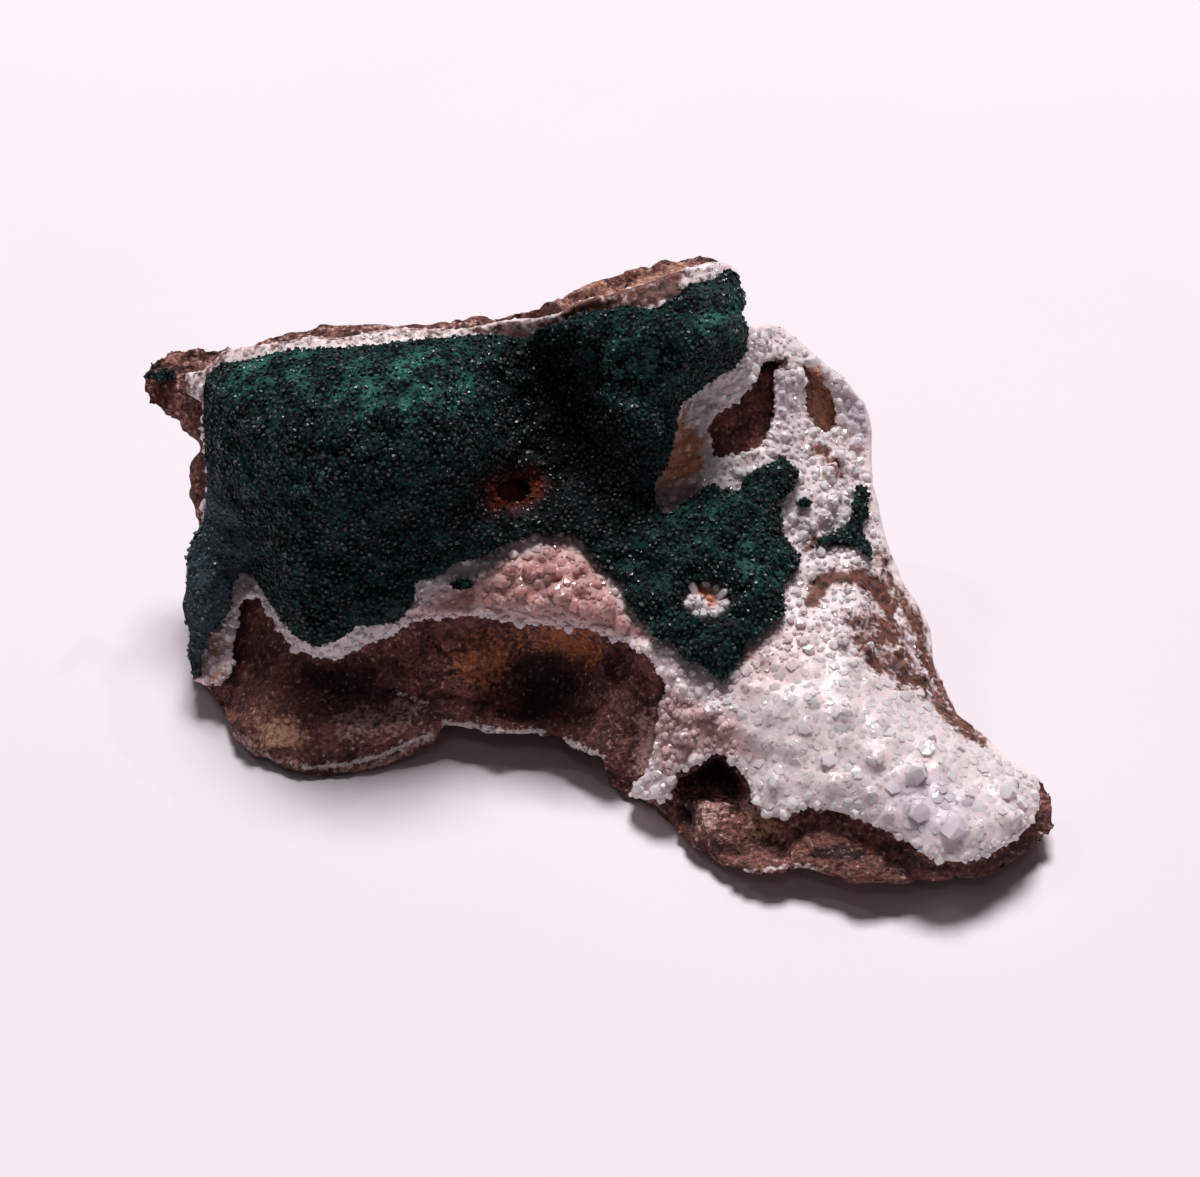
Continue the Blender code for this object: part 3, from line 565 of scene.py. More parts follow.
def joined_copies(name: str, form: Array, faces: Array, frames: Array, starts: Array, tones: Array) -> Thing:
    """Many copies of one small form as one mesh.

    Args:
        name: The new object's name.
        form: The corners of each copy before it is turned and placed, one block a copy.
        faces: The form's triangles.
        frames: Each copy's three axes, as rows.
        starts: Each copy's place.
        tones: One number for each copy, kept on its vertices as "tone".

    Returns:
        The object.
    """
    corners = np.einsum("nkc,ncd->nkd", form, frames) + starts[:, None, :]
    count, size = corners.shape[:2]
    shifted = faces[None, :, :] + (np.arange(count) * size)[:, None, None]
    mesh = bpy.data.meshes.new(name)
    mesh.from_pydata((corners.reshape(-1, 3) * MM).tolist(), [], shifted.reshape(-1, 3).tolist())
    mesh.update()
    layer = mesh.attributes.new("tone", "FLOAT", "POINT")
    layer.data.foreach_set("value", np.repeat(tones, size).astype(np.float32))
    return new_thing(name, mesh)


def standing_frames(axes: Array, random: np.random.Generator) -> Array:
    """Axes for copies that stand along given ways, each turned about its own by chance.

    Args:
        axes: The way that each copy's third axis points.
        random: The source of the turns.

    Returns:
        Three unit axes a copy, as rows.
    """
    third = unit(axes)
    first = unit(np.cross(third, random.normal(size=third.shape)))
    return np.stack([first, np.cross(third, first), third], axis=1)


class Value:
    """A number that varies over a surface. An expression on it adds Math nodes."""

    def __init__(self, tree: "ShaderTree", socket: Socket) -> None:
        """Wraps a socket.

        Args:
            tree: The tree that it belongs to.
            socket: The output that carries the number.
        """
        self.tree = tree
        self.socket = socket

    def _with(self, operation: str, first: Any, second: Any) -> "Value":
        """The outcome of one Math node."""
        socket = self.tree.node("ShaderNodeMath", {"operation": operation}, {0: first, 1: second})
        return Value(self.tree, socket)

    def __add__(self, other: "Value | float") -> "Value":
        """The sum."""
        return self._with("ADD", self, other)

    def __radd__(self, other: float) -> "Value":
        """The sum, number first."""
        return self._with("ADD", other, self)

    def __sub__(self, other: "Value | float") -> "Value":
        """The difference."""
        return self._with("SUBTRACT", self, other)

    def __rsub__(self, other: float) -> "Value":
        """The difference, number first."""
        return self._with("SUBTRACT", other, self)

    def __mul__(self, other: "Value | float") -> "Value":
        """The product."""
        return self._with("MULTIPLY", self, other)

    def __rmul__(self, other: float) -> "Value":
        """The product, number first."""
        return self._with("MULTIPLY", other, self)

    def rising(self, low: float, high: float) -> "Value":
        """0 below low and 1 above high, smooth between; low above high turns it round.

        Args:
            low: Where it is 0.
            high: Where it is 1.

        Returns:
            The mapped number.
        """
        settings = {"interpolation_type": "SMOOTHSTEP"}
        inputs = {"Value": self, "From Min": low, "From Max": high}
        return Value(self.tree, self.tree.node("ShaderNodeMapRange", settings, inputs))


class ShaderTree:
    """The node tree of one material."""

    def __init__(self, name: str) -> None:
        """Starts an empty material.

        Args:
            name: The material's name.
        """
        self.material = bpy.data.materials.new(name)
        self.material.use_nodes = True
        self.nodes = self.material.node_tree.nodes
        self.links = self.material.node_tree.links
        self.nodes.clear()
        self.place = self.node("ShaderNodeTexCoord", {}, {}, "Object")

    def node(self, kind: str, settings: dict[str, Any], inputs: dict[Any, Any],
             output: int | str = 0) -> Socket:
        """One node of any kind.

        Args:
            kind: The node's type.
            settings: Its properties, set first.
            inputs: What each of its sockets takes, a number, a colour, a socket or a Value.
            output: Which of its outputs is wanted.

        Returns:
            That output.
        """
        made = self.nodes.new(kind)
        for name, setting in settings.items():
            setattr(made, name, setting)
        for name, entry in inputs.items():
            entry = entry.socket if isinstance(entry, Value) else entry
            if isinstance(entry, bpy.types.NodeSocket):
                self.links.new(entry, made.inputs[name])
            else:
                made.inputs[name].default_value = entry
        return made.outputs[output]

    def mask(self, name: str) -> Value:
        """A number that the mesh keeps at its vertices."""
        return Value(self, self.node("ShaderNodeAttribute", {"attribute_name": name}, {}, "Fac"))

    def cloud(self, size: float, detail: float, stretch: float = 0.0) -> Value:
        """Noise from 0 to 1 with swellings of a size.

        Args:
            size: The size of a swelling.
            detail: How many finer layers it has.
            stretch: How strongly it is bent by itself.

        Returns:
            The noise.
        """
        inputs = {"Vector": self.place, "Scale": 1.0 / (size * MM), "Detail": detail, "Distortion": stretch}
        return Value(self, self.node("ShaderNodeTexNoise", {}, inputs))

    def grains(self, size: float) -> Value:
        """Cells of a size: the distance to a cell's middle.

        Args:
            size: The cells' size.

        Returns:
            The distance.
        """
        inputs = {"Vector": self.place, "Scale": 1.0 / (size * MM)}
        return Value(self, self.node("ShaderNodeTexVoronoi", {}, inputs))

    def blend(self, low: Socket | Colour, high: Socket | Colour, share: Value) -> Socket:
        """A colour between two.

        Args:
            low: The colour where the share is 0.
            high: The colour where it is 1.
            share: The share.

        Returns:
            The mixed colour.
        """
        settings = {"data_type": "RGBA", "clamp_factor": True}
        return self.node("ShaderNodeMix", settings, {0: share, 6: low, 7: high}, 2)

    def relief(self, height: Value, depth: float, strength: float) -> Socket:
        """A normal bent by a height.

        Args:
            height: The height, from 0 to 1.
            depth: What 1 stands for.
            strength: How much of it shows.

        Returns:
            The normal.
        """
        inputs = {"Height": height, "Distance": depth * MM, "Strength": strength}
        return self.node("ShaderNodeBump", {}, inputs)

    def principled(self, inputs: dict[str, Any]) -> bpy.types.Material:
        """Ends the tree in a Principled shader.

        Args:
            inputs: What the shader's sockets take.

        Returns:
            The finished material.
        """
        shader = self.node("ShaderNodeBsdfPrincipled", {}, inputs)
        output = self.nodes.new("ShaderNodeOutputMaterial")
        self.links.new(shader, output.inputs["Surface"])
        return self.material


@dataclass(frozen=True)
class RockFinish:
    """Brown, iron-stained host rock: matt, mottled, dusted pale on its ledges, with painted shade in its
    hollows.

    Attributes:
        deep: The darkest brown.
        plain: The common brown.
        light: Worn edges and the horn.
        dust: Pinkish quartz dust.
        rust: The orange stain under the crust.
        hollow: Painted shade in the hollows, pits and cracks.
        tan: The olive-tan patches.
        white: Thin quartz edges.
    """

    deep: Colour = paint(82, 50, 46)
    plain: Colour = paint(156, 102, 92)
    light: Colour = paint(200, 150, 140)
    dust: Colour = paint(236, 192, 184)
    rust: Colour = paint(214, 130, 76)
    hollow: Colour = paint(22, 12, 13)
    tan: Colour = paint(224, 172, 142)
    white: Colour = paint(236, 218, 216)

    def material(self) -> bpy.types.Material:
        """The rock's material.

        Returns:
            The finished material.
        """
        tree = ShaderTree("rock_finish")
        mottle = tree.cloud(1.9, 8.0, 0.8)
        speck = tree.cloud(0.32, 6.0)
        crumb = (mottle + speck * 0.7).rising(0.66, 1.06)
        colour = tree.blend(self.deep, self.plain, crumb)
        stains = (
            ("light", self.light, 0.3, 0.6),
            ("tan", self.tan, 0.5, 0.5),
            ("rust", self.rust, 0.25, 0.7),
            ("dust", self.dust, 0.25, 0.6),
        )
        for name, tone, least, more in stains:
            colour = tree.blend(colour, tone, self.broken(tree, name, speck) * (least + crumb * more))
        # Painted shade: the hollow mark darkens hollows, pits, cracks and the arm's lower edge.
        colour = tree.blend(colour, self.hollow, self.broken(tree, "hollow", mottle) * 0.85)
        colour = tree.blend(colour, self.white, self.broken(tree, "white", speck))
        # Painted shade: dark flecks stand for the shade in fine cracks and pits, scattered by noise.
        colour = tree.blend(colour, self.hollow, tree.cloud(0.55, 4.0, 1.5).rising(0.57, 0.7) * 0.6)
        colour = tree.blend(colour, self.light, tree.cloud(0.45, 4.0, 1.0).rising(0.62, 0.74) * 0.4)
        fine = tree.cloud(0.3, 5.0) + tree.cloud(1.0, 6.0, 0.8) * 2.0
        return tree.principled({
            "Base Color": colour,
            "Roughness": 0.68 + mottle * 0.25,
            "Specular IOR Level": 0.35,
            "Normal": tree.relief(fine, 0.42, 1.0),
        })

    @staticmethod
    def broken(tree: ShaderTree, name: str, noise: Value) -> Value:
        """A mark of the mesh with its edge broken up by noise."""
        return (tree.mask(name) + (noise - 0.5) * 2.2).rising(0.2, 0.85)


QUARTZ_BODY = {
    "IOR": 1.544,
    "Subsurface Weight": 0.5,
    "Subsurface Radius": (1.0, 0.85, 0.85),
    "Subsurface Scale": 0.9 * MM,
}


@dataclass(frozen=True)
class QuartzFinish:
    """The crust that the quartz points grow from: milky, pinkish, stained brown and orange in places.

    Attributes:
        milk: The palest quartz.
        grey: The clearer, greyer quartz.
        pink: The mound's tone.
        lilac: The arm tip's tone.
        brown: Rock showing through.
        earth: Its darker parts.
        orange: The iron stain.
        rusty: The reddish spot in the malachite.
    """

    milk: Colour = paint(253, 232, 230)
    grey: Colour = paint(244, 224, 226)
    pink: Colour = paint(196, 134, 128)
    lilac: Colour = paint(232, 214, 228)
    brown: Colour = paint(122, 72, 60)
    earth: Colour = paint(66, 34, 28)
    orange: Colour = paint(226, 152, 120)
    rusty: Colour = paint(120, 44, 24)

    def stained(self, tree: ShaderTree, colour: Socket) -> Socket:
        """A colour with the crust's stains on it.

        Args:
            tree: The tree that the nodes go into.
            colour: The colour under the stains.

        Returns:
            The stained colour.
        """
        mottle = tree.cloud(1.1, 4.0, 0.5)
        speck = tree.cloud(0.36, 4.0)
        colour = tree.blend(colour, self.pink, tree.mask("pink") * (0.5 + mottle * 0.7))
        colour = tree.blend(colour, self.lilac, tree.mask("lilac") * (0.5 + mottle * 0.5))
        orange = (tree.mask("orange") + (mottle - 0.5) * 1.2).rising(0.35, 0.75)
        colour = tree.blend(colour, self.orange, orange)
        rock = tree.blend(self.brown, self.earth, tree.cloud(0.6, 5.0, 1.0).rising(0.42, 0.62))
        bare = (tree.mask("brown") + (mottle + speck - 1.0) * 1.1).rising(0.22, 0.7)
        colour = tree.blend(colour, rock, bare)
        return tree.blend(colour, self.rusty, tree.mask("rusty"))

    def material(self) -> bpy.types.Material:
        """The crust's material.

        Returns:
            The finished material.
        """
        tree = ShaderTree("quartz_finish")
        colour = tree.blend(self.grey, self.milk, tree.cloud(1.4, 4.0, 0.4).rising(0.36, 0.62))
        colour = self.stained(tree, colour)
        colour = tree.blend(colour, self.brown, tree.cloud(0.33, 1.0).rising(0.735, 0.77) * 0.8)
        rough = tree.grains(0.42) * 0.6 + tree.cloud(0.3, 3.0) * 0.6
        return tree.principled({
            "Base Color": colour,
            "Roughness": 0.3 + tree.cloud(0.6, 2.0) * 0.25 + tree.mask("brown") * 0.35,
            "Normal": tree.relief(rough, 0.1, 0.6),
            **QUARTZ_BODY,
        })


@dataclass(frozen=True)
class CrystalFinish:
    """The quartz points: milky, a little see-through, bright on their faces.

    Attributes:
        clear: The clearest points.
        milk: The milkiest.
        crust: The finish of the crust, whose stains the points carry.
    """

    clear: Colour = paint(253, 232, 237)
    milk: Colour = paint(255, 245, 245)
    crust: QuartzFinish = QuartzFinish()

    def material(self) -> bpy.types.Material:
        """The points' material.

        Returns:
            The finished material.
        """
        tree = ShaderTree("crystal_finish")
        return tree.principled({
            "Base Color": self.crust.stained(tree, tree.blend(self.clear, self.milk, tree.mask("tone"))),
            "Roughness": 0.05 + tree.cloud(0.5, 2.0).rising(0.45, 0.7) * 0.14,
            "Transmission Weight": 0.07,
            "Normal": tree.relief(tree.cloud(0.5, 2.0), 0.05, 0.25),
            **QUARTZ_BODY,
        })


@dataclass(frozen=True)
class MalachiteFinish:
    """Very dark green malachite with a fine velvet of grains, a painted green highlight on its lit tops, a
    painted sheen on its smoother flank and painted shade in its valley.

    Attributes:
        deep: The seams between grains, and the painted shade in the valley.
        plain: The common green.
        emerald_highlight: A painted highlight, the bright green on the lit tops near the rim.
        slate_sheen: A painted sheen, the paler, bluer look of the smoother left flank and the cap.
        rusty: The reddish spot.
    """

    deep: Colour = paint(3, 9, 10)
    plain: Colour = paint(28, 58, 56)
    emerald_highlight: Colour = paint(54, 116, 104)
    slate_sheen: Colour = paint(72, 88, 96)
    rusty: Colour = paint(132, 46, 26)

    def material(self, name: str, roughness: float, duller: float, shine: float) -> bpy.types.Material:
        """The green's material.

        Args:
            name: The material's name.
            roughness: The least roughness.
            duller: How much rougher its dull places are.
            shine: How strongly its faces mirror.

        Returns:
            The material.
        """
        tree = ShaderTree(name)
        mottle = tree.cloud(1.3, 4.0)
        grain = tree.cloud(0.32, 2.0)
        patches = tree.cloud(2.4, 5.0).rising(0.4, 0.66)
        colour = tree.blend(self.deep, self.plain, (grain + mottle * 0.7).rising(0.7, 1.06))
        # Painted sheen: the lit, bluer look of the smoother left flank and the cap.
        colour = tree.blend(colour, self.slate_sheen, tree.mask("flank") * (0.4 + mottle * 0.6))
        # Painted highlight: a brighter green on the lit tops, broken into patches.
        painted_highlight = tree.mask("emerald_highlight") * patches * (grain + mottle).rising(0.8, 1.2)
        colour = tree.blend(colour, self.emerald_highlight, painted_highlight)
        # Painted shade: the valley between the bulges and under the rim, darkened to the seam colour.
        colour = tree.blend(colour, self.deep, tree.mask("shade") * 0.85)
        colour = tree.blend(colour, self.rusty, tree.mask("rusty") * mottle.rising(0.36, 0.6))
        fine = tree.grains(0.3) * 0.7 + grain
        dull = grain.rising(0.35, 0.6) + tree.mask("tone") + 2.2 * (1.0 - patches)
        return tree.principled({
            "Base Color": colour,
            "Roughness": roughness + dull * duller,
            "Specular IOR Level": shine,
            "Normal": tree.relief(fine, 0.12, 0.6),
        })


@dataclass(frozen=True)
class FloorFinish:
    """The plain pale floor.

    Attributes:
        tone: Its colour.
        shade: Its faintly darker tone.
    """

    tone: Colour = paint(242, 234, 240)
    shade: Colour = paint(238, 229, 236)

    def material(self) -> bpy.types.Material:
        """The floor's material.

        Returns:
            The finished material.
        """
        tree = ShaderTree("floor_finish")
        colour = tree.blend(self.shade, self.tone, tree.cloud(40.0, 2.0))
        return tree.principled({"Base Color": colour, "Roughness": 0.9, "Specular IOR Level": 0.1})


class Ground(Enum):
    """The rock's marks, by the names that its mesh keeps them under."""

    LIGHT = "light"
    TAN = "tan"
    RUST = "rust"
    DUST = "dust"
    # Painted shade: hollows, pits and cracks darkened on the mesh.
    PAINTED_SHADE = "hollow"
    WHITE = "white"


OUTLINE = Region((
    (141, 371), (150, 362), (170, 348), (184, 345), (229, 345), (240, 348), (260, 337), (289, 329),
    (322, 322), (398, 324), (440, 321), (480, 314), (497, 317), (536, 307), (541, 299), (580, 287),
    (617, 275), (650, 263), (668, 256), (692, 253), (716, 255), (728, 263), (738, 273), (746, 302),
    (741, 314), (750, 328), (768, 323), (782, 327), (800, 342), (818, 356), (847, 381), (865, 403),
    (872, 430), (873, 485), (881, 517), (892, 556), (902, 581), (915, 599), (930, 628), (933, 660),
    (946, 691), (957, 715), (980, 732), (1004, 755), (1040, 779), (1056, 795), (1055, 828), (1037, 848),
    (1005, 873), (979, 879), (920, 881), (882, 883), (838, 881), (805, 868), (794, 872), (751, 874),
    (722, 868), (692, 848), (660, 820), (642, 802), (622, 801), (606, 781), (599, 759), (572, 752),
    (560, 738), (531, 736), (496, 734), (465, 728), (446, 726), (433, 745), (400, 764), (360, 775),
    (325, 778), (282, 771), (248, 757), (235, 742), (222, 722), (215, 695), (193, 680), (188, 654),
    (190, 633), (182, 605), (186, 590), (187, 555), (199, 528), (184, 478), (184, 467), (197, 449),
    (190, 439), (175, 424), (150, 406), (140, 386),
))
QUARTZ_TOP_EDGE = Trace((
    (203, 402), (187, 394), (185, 373), (203, 371), (222, 352), (253, 346), (275, 343), (310, 336),
    (340, 338), (375, 331), (410, 328), (455, 330), (500, 321), (540, 318), (560, 313), (575, 303),
    (620, 291), (660, 277), (690, 268), (716, 262),
))


ROCK_MARKS: dict[Ground, tuple[Mark, ...]] = {
    Ground.LIGHT: (
        area(13.6, 0.45, (139, 340), (235, 340), (240, 360), (205, 400), (205, 530), (180, 520), (165, 430)),
        area(8.5, 1.0, (540, 300), (690, 248), (722, 250), (700, 268), (640, 286), (560, 308)),
        area(15.3, 0.8, (652, 712), (705, 755), (716, 775), (690, 790), (670, 805), (640, 800), (642, 760)),
        area(15.3, 0.35, (752, 800), (880, 815), (900, 846), (840, 850), (770, 840)),
        area(20.4, 0.3, (605, 660), (650, 670), (655, 790), (615, 795)),
    ),
    Ground.TAN: (
        area(11.9, 0.9, (250, 716), (290, 720), (298, 742), (262, 750), (247, 738)),
        area(5.1, 1.0, (800, 358), (820, 362), (840, 420), (826, 438), (806, 428), (801, 380)),
        area(11.9, 0.7, (742, 812), (775, 815), (778, 850), (748, 850)),
        area(6.8, 0.7, (560, 288), (690, 254), (700, 264), (620, 284), (560, 300)),
    ),
    Ground.RUST: (
        area(17.0, 0.9, (452, 648), (490, 640), (520, 652), (510, 676), (488, 690), (462, 680)),
        area(10.2, 1.0, (545, 624), (585, 626), (598, 640), (590, 656), (562, 650)),
        area(17.0, 0.5, (480, 628), (560, 628), (560, 650), (500, 656)),
    ),
    Ground.DUST: (
        area(13.6, 0.7, (322, 712), (372, 704), (420, 708), (436, 722), (400, 736), (340, 742)),
        line(5.0, 0.8, (236, 735), (262, 758), (310, 770), (360, 768), (405, 752), (432, 738)),
        area(13.6, 1.0, (652, 715), (700, 752), (676, 770), (668, 800), (640, 797), (648, 760)),
        area(10.2, 0.7, (690, 800), (770, 806), (776, 822), (720, 822)),
        line(4.0, 0.5, (185, 350), (230, 350), (262, 342), (322, 328), (398, 330), (480, 320), (536, 312)),
    ),
    # Painted shade: the cove, the foot's inner slope, pits, holes, cracks and the arm's lower edge.
    Ground.PAINTED_SHADE: (
        area(20.4, 0.9, (508, 662), (560, 656), (586, 664), (582, 700), (540, 712), (508, 706)),
        area(30.6, 0.75, (300, 655), (385, 665), (400, 700), (330, 706), (290, 690)),
        area(10.2, 1.0, (690, 768), (716, 762), (738, 778), (747, 790), (700, 790)),
        area(6.8, 0.8, (680, 804), (704, 806), (704, 822), (684, 820)),
        area(10.2, 0.5, (700, 824), (726, 828), (730, 856), (704, 850)),
        area(8.5, 0.95, (814, 850), (852, 852), (854, 868), (816, 864)),
        area(6.8, 0.8, (757, 358), (786, 360), (782, 374), (758, 378)),
        line(2.5, 1.0, (388, 691), (415, 706), (437, 722)),
        line(6.0, 0.55, (894, 848), (927, 866), (960, 871), (992, 862), (1022, 848), (1040, 828)),
    ),
    Ground.WHITE: (
        line(2.4, 1.0, (300, 770), (335, 766), (370, 758), (405, 746), (436, 735)),
        line(1.6, 0.9, (394, 694), (412, 701), (426, 708)),
        line(3.4, 1.2, (447, 724), (480, 728), (510, 731), (541, 732)),
        line(4.0, 1.1, (561, 742), (578, 749), (600, 757)),
        line(2.2, 0.8, (704, 857), (731, 870), (801, 868), (822, 872)),
        line(2.6, 0.7, (216, 700), (224, 724), (237, 744)),
    ),
}


@dataclass
class RockBody:
    """The host rock, refined, roughened and stained.

    Attributes:
        view: The viewpoint of its spots.
        node: The model's solid.
        step: The fine mesh's spacing.
        flat_height: Below it the rock stays as flat as it rests.
        crease: The depth of its creases.
        pit: The depth of its pits.
        pit_size: How wide a pit is.
        pit_share: The share of the pits' cells that are hollow.
        ledge: How far a ledge stands out.
        ledge_height: From one ledge to the next.
        wander: How far the edge of a stain strays, in spots.
        line_wander: The share of that by which a line strays.
    """

    view: Viewpoint
    node: Thing
    step: float = 0.28
    flat_height: float = 0.12
    crease: float = 0.3
    pit: float = 0.22
    pit_size: float = 1.7
    pit_share: float = 0.16
    ledge: float = 0.32
    ledge_height: float = 0.95
    wander: float = 26.0
    line_wander: float = 0.3

    def build(self) -> Thing:
        """Makes the rock.

        Returns:
            The finished piece.
        """
        thing = refined(self.node, "rock", self.step)
        skin = Skin(thing, self.view)
        bare = skin.points[:, 2] > self.flat_height
        relief = 0.2 * layered_noise(skin.points, 3.4, 4, 11) + 0.12 * layered_noise(skin.points, 1.0, 2, 17)
        creases = 1.0 - np.minimum(np.abs(layered_noise(skin.points, 3.0, 3, 83)) * 6.0, 1.0)
        relief -= self.crease * creases - 0.05
        cells = Cells(self.pit_size, 23)
        hollow = cells.measure(skin.points)[2] < self.pit_share
        pits = np.where(hollow, -self.pit * cells.domes(skin.points), 0.0)
        skin.raise_by((relief - 0.09 + pits + self.ledge * self._ledges(skin)) * bare)
        self._store_marks(skin)
        thing.data.materials.clear()
        thing.data.materials.append(RockFinish().material())
        return thing

    def _ledges(self, skin: Skin) -> Array:
        """Broken layers on the steep sides, from -1 to 1.

        Args:
            skin: The rock's skin.

        Returns:
            How far each vertex stands out.
        """
        bent = skin.points[:, 2] + 0.5 * layered_noise(skin.points, 6.0, 2, 31) + 0.03 * skin.points[:, 0]
        phase = np.mod(bent / self.ledge_height, 1.0)
        steep = 1.0 - np.abs(skin.normals[:, 2])
        return (1.0 - 2.0 * phase**0.6) * steep * (0.5 + 0.5 * soft_noise(skin.points, 4.0, 37))

    def _store_marks(self, skin: Skin) -> None:
        """Keeps each mark's strength at the vertices, and marks of its own on the side that is turned away.

        Args:
            skin: The rock's skin.
        """
        seen = skin.seen()
        bends = [layered_noise(skin.points, 3.6, 4, seed) for seed in (41, 46)]
        bent = skin.spots + self.wander * np.column_stack(bends)
        fine = skin.spots + self.line_wander * (bent - skin.spots)
        hidden = 1.0 - seen
        for ground, marks in ROCK_MARKS.items():
            share = np.zeros(len(skin.points))
            for mark in marks:
                share = np.maximum(share, mark.share(bent if isinstance(mark.trace, Region) else fine))
            share *= seen
            if ground is Ground.LIGHT:
                share += hidden * 0.7 * smooth_step(layered_noise(skin.points, 7.0, 3, 47), -0.1, 0.5)
            if ground is Ground.DUST:
                share += 0.5 * smooth_step(self._ledges(skin), 0.25, 0.6)
            skin.store(ground.value, np.clip(share, 0.0, 1.0))


ARM = Region((
    (735, 690), (800, 650), (870, 660), (935, 700), (960, 725), (1010, 765), (1036, 795), (1020, 830),
    (970, 858), (925, 850), (880, 825), (815, 800), (765, 805), (730, 745),
))
MOUND = Region((
    (440, 596), (500, 563), (560, 535), (590, 555), (620, 600), (650, 640), (640, 640), (560, 622),
    (480, 612), (410, 618),
))
QUARTZ_STAINS: dict[str, tuple[Mark, ...]] = {
    "brown": (
        line(10.0, 1.0, (812, 602), (820, 586), (838, 576), (860, 577), (878, 590), (890, 610)),
        area(9.0, 0.66, (846, 612), (880, 606), (908, 640), (926, 690), (900, 690), (868, 668), (848, 640)),
        line(10.0, 0.72, (880, 560), (893, 585), (915, 622), (930, 660), (950, 705), (965, 728)),
        line(10.0, 0.72, (898, 640), (921, 680), (950, 716), (985, 742)),
        line(10.0, 0.72, (880, 600), (900, 640), (915, 675)),
        line(8.0, 0.7, (816, 448), (826, 456), (838, 462), (842, 474)),
        line(6.0, 0.9, (770, 366), (782, 362)),
        area(5.0, 0.75, (560, 300), (682, 268), (690, 276), (682, 300), (560, 326)),
        line(4.0, 0.8, (806, 548), (822, 540), (848, 545)),
    ),
    "orange": (
        area(11.0, 0.85, (684, 400), (692, 410), (688, 425), (704, 440), (706, 462), (700, 475), (680, 482),
             (660, 492), (662, 465), (672, 440), (676, 418)),
        line(9.0, 0.7, (698, 590), (712, 600)),
        line(6.0, 0.5, (212, 640), (222, 668), (210, 682)),
    ),
    "lilac": (
        area(12.0, 1.0, (893, 780), (945, 775), (975, 800), (965, 835), (915, 838), (890, 810)),
        area(9.0, 1.0, (842, 385), (866, 405), (872, 450), (858, 440), (845, 415)),
        area(5.0, 0.9, (776, 380), (796, 380), (798, 430), (784, 440), (776, 420)),
    ),
    "pink": (
        Mark(MOUND, 12.0),
        area(9.0, 0.7, (640, 650), (670, 690), (735, 720), (760, 760), (700, 752), (660, 775), (650, 720)),
        area(6.0, 0.8, (652, 485), (700, 478), (706, 492), (680, 506), (660, 512)),
        area(16.0, 0.3, (735, 640), (800, 620), (830, 650), (790, 690), (740, 690)),
        area(8.0, 0.35, (190, 600), (226, 600), (230, 690), (196, 690)),
    ),
    "rusty": (area(3.0, 1.0, (488, 474), (540, 472), (540, 512), (488, 512)),),
}


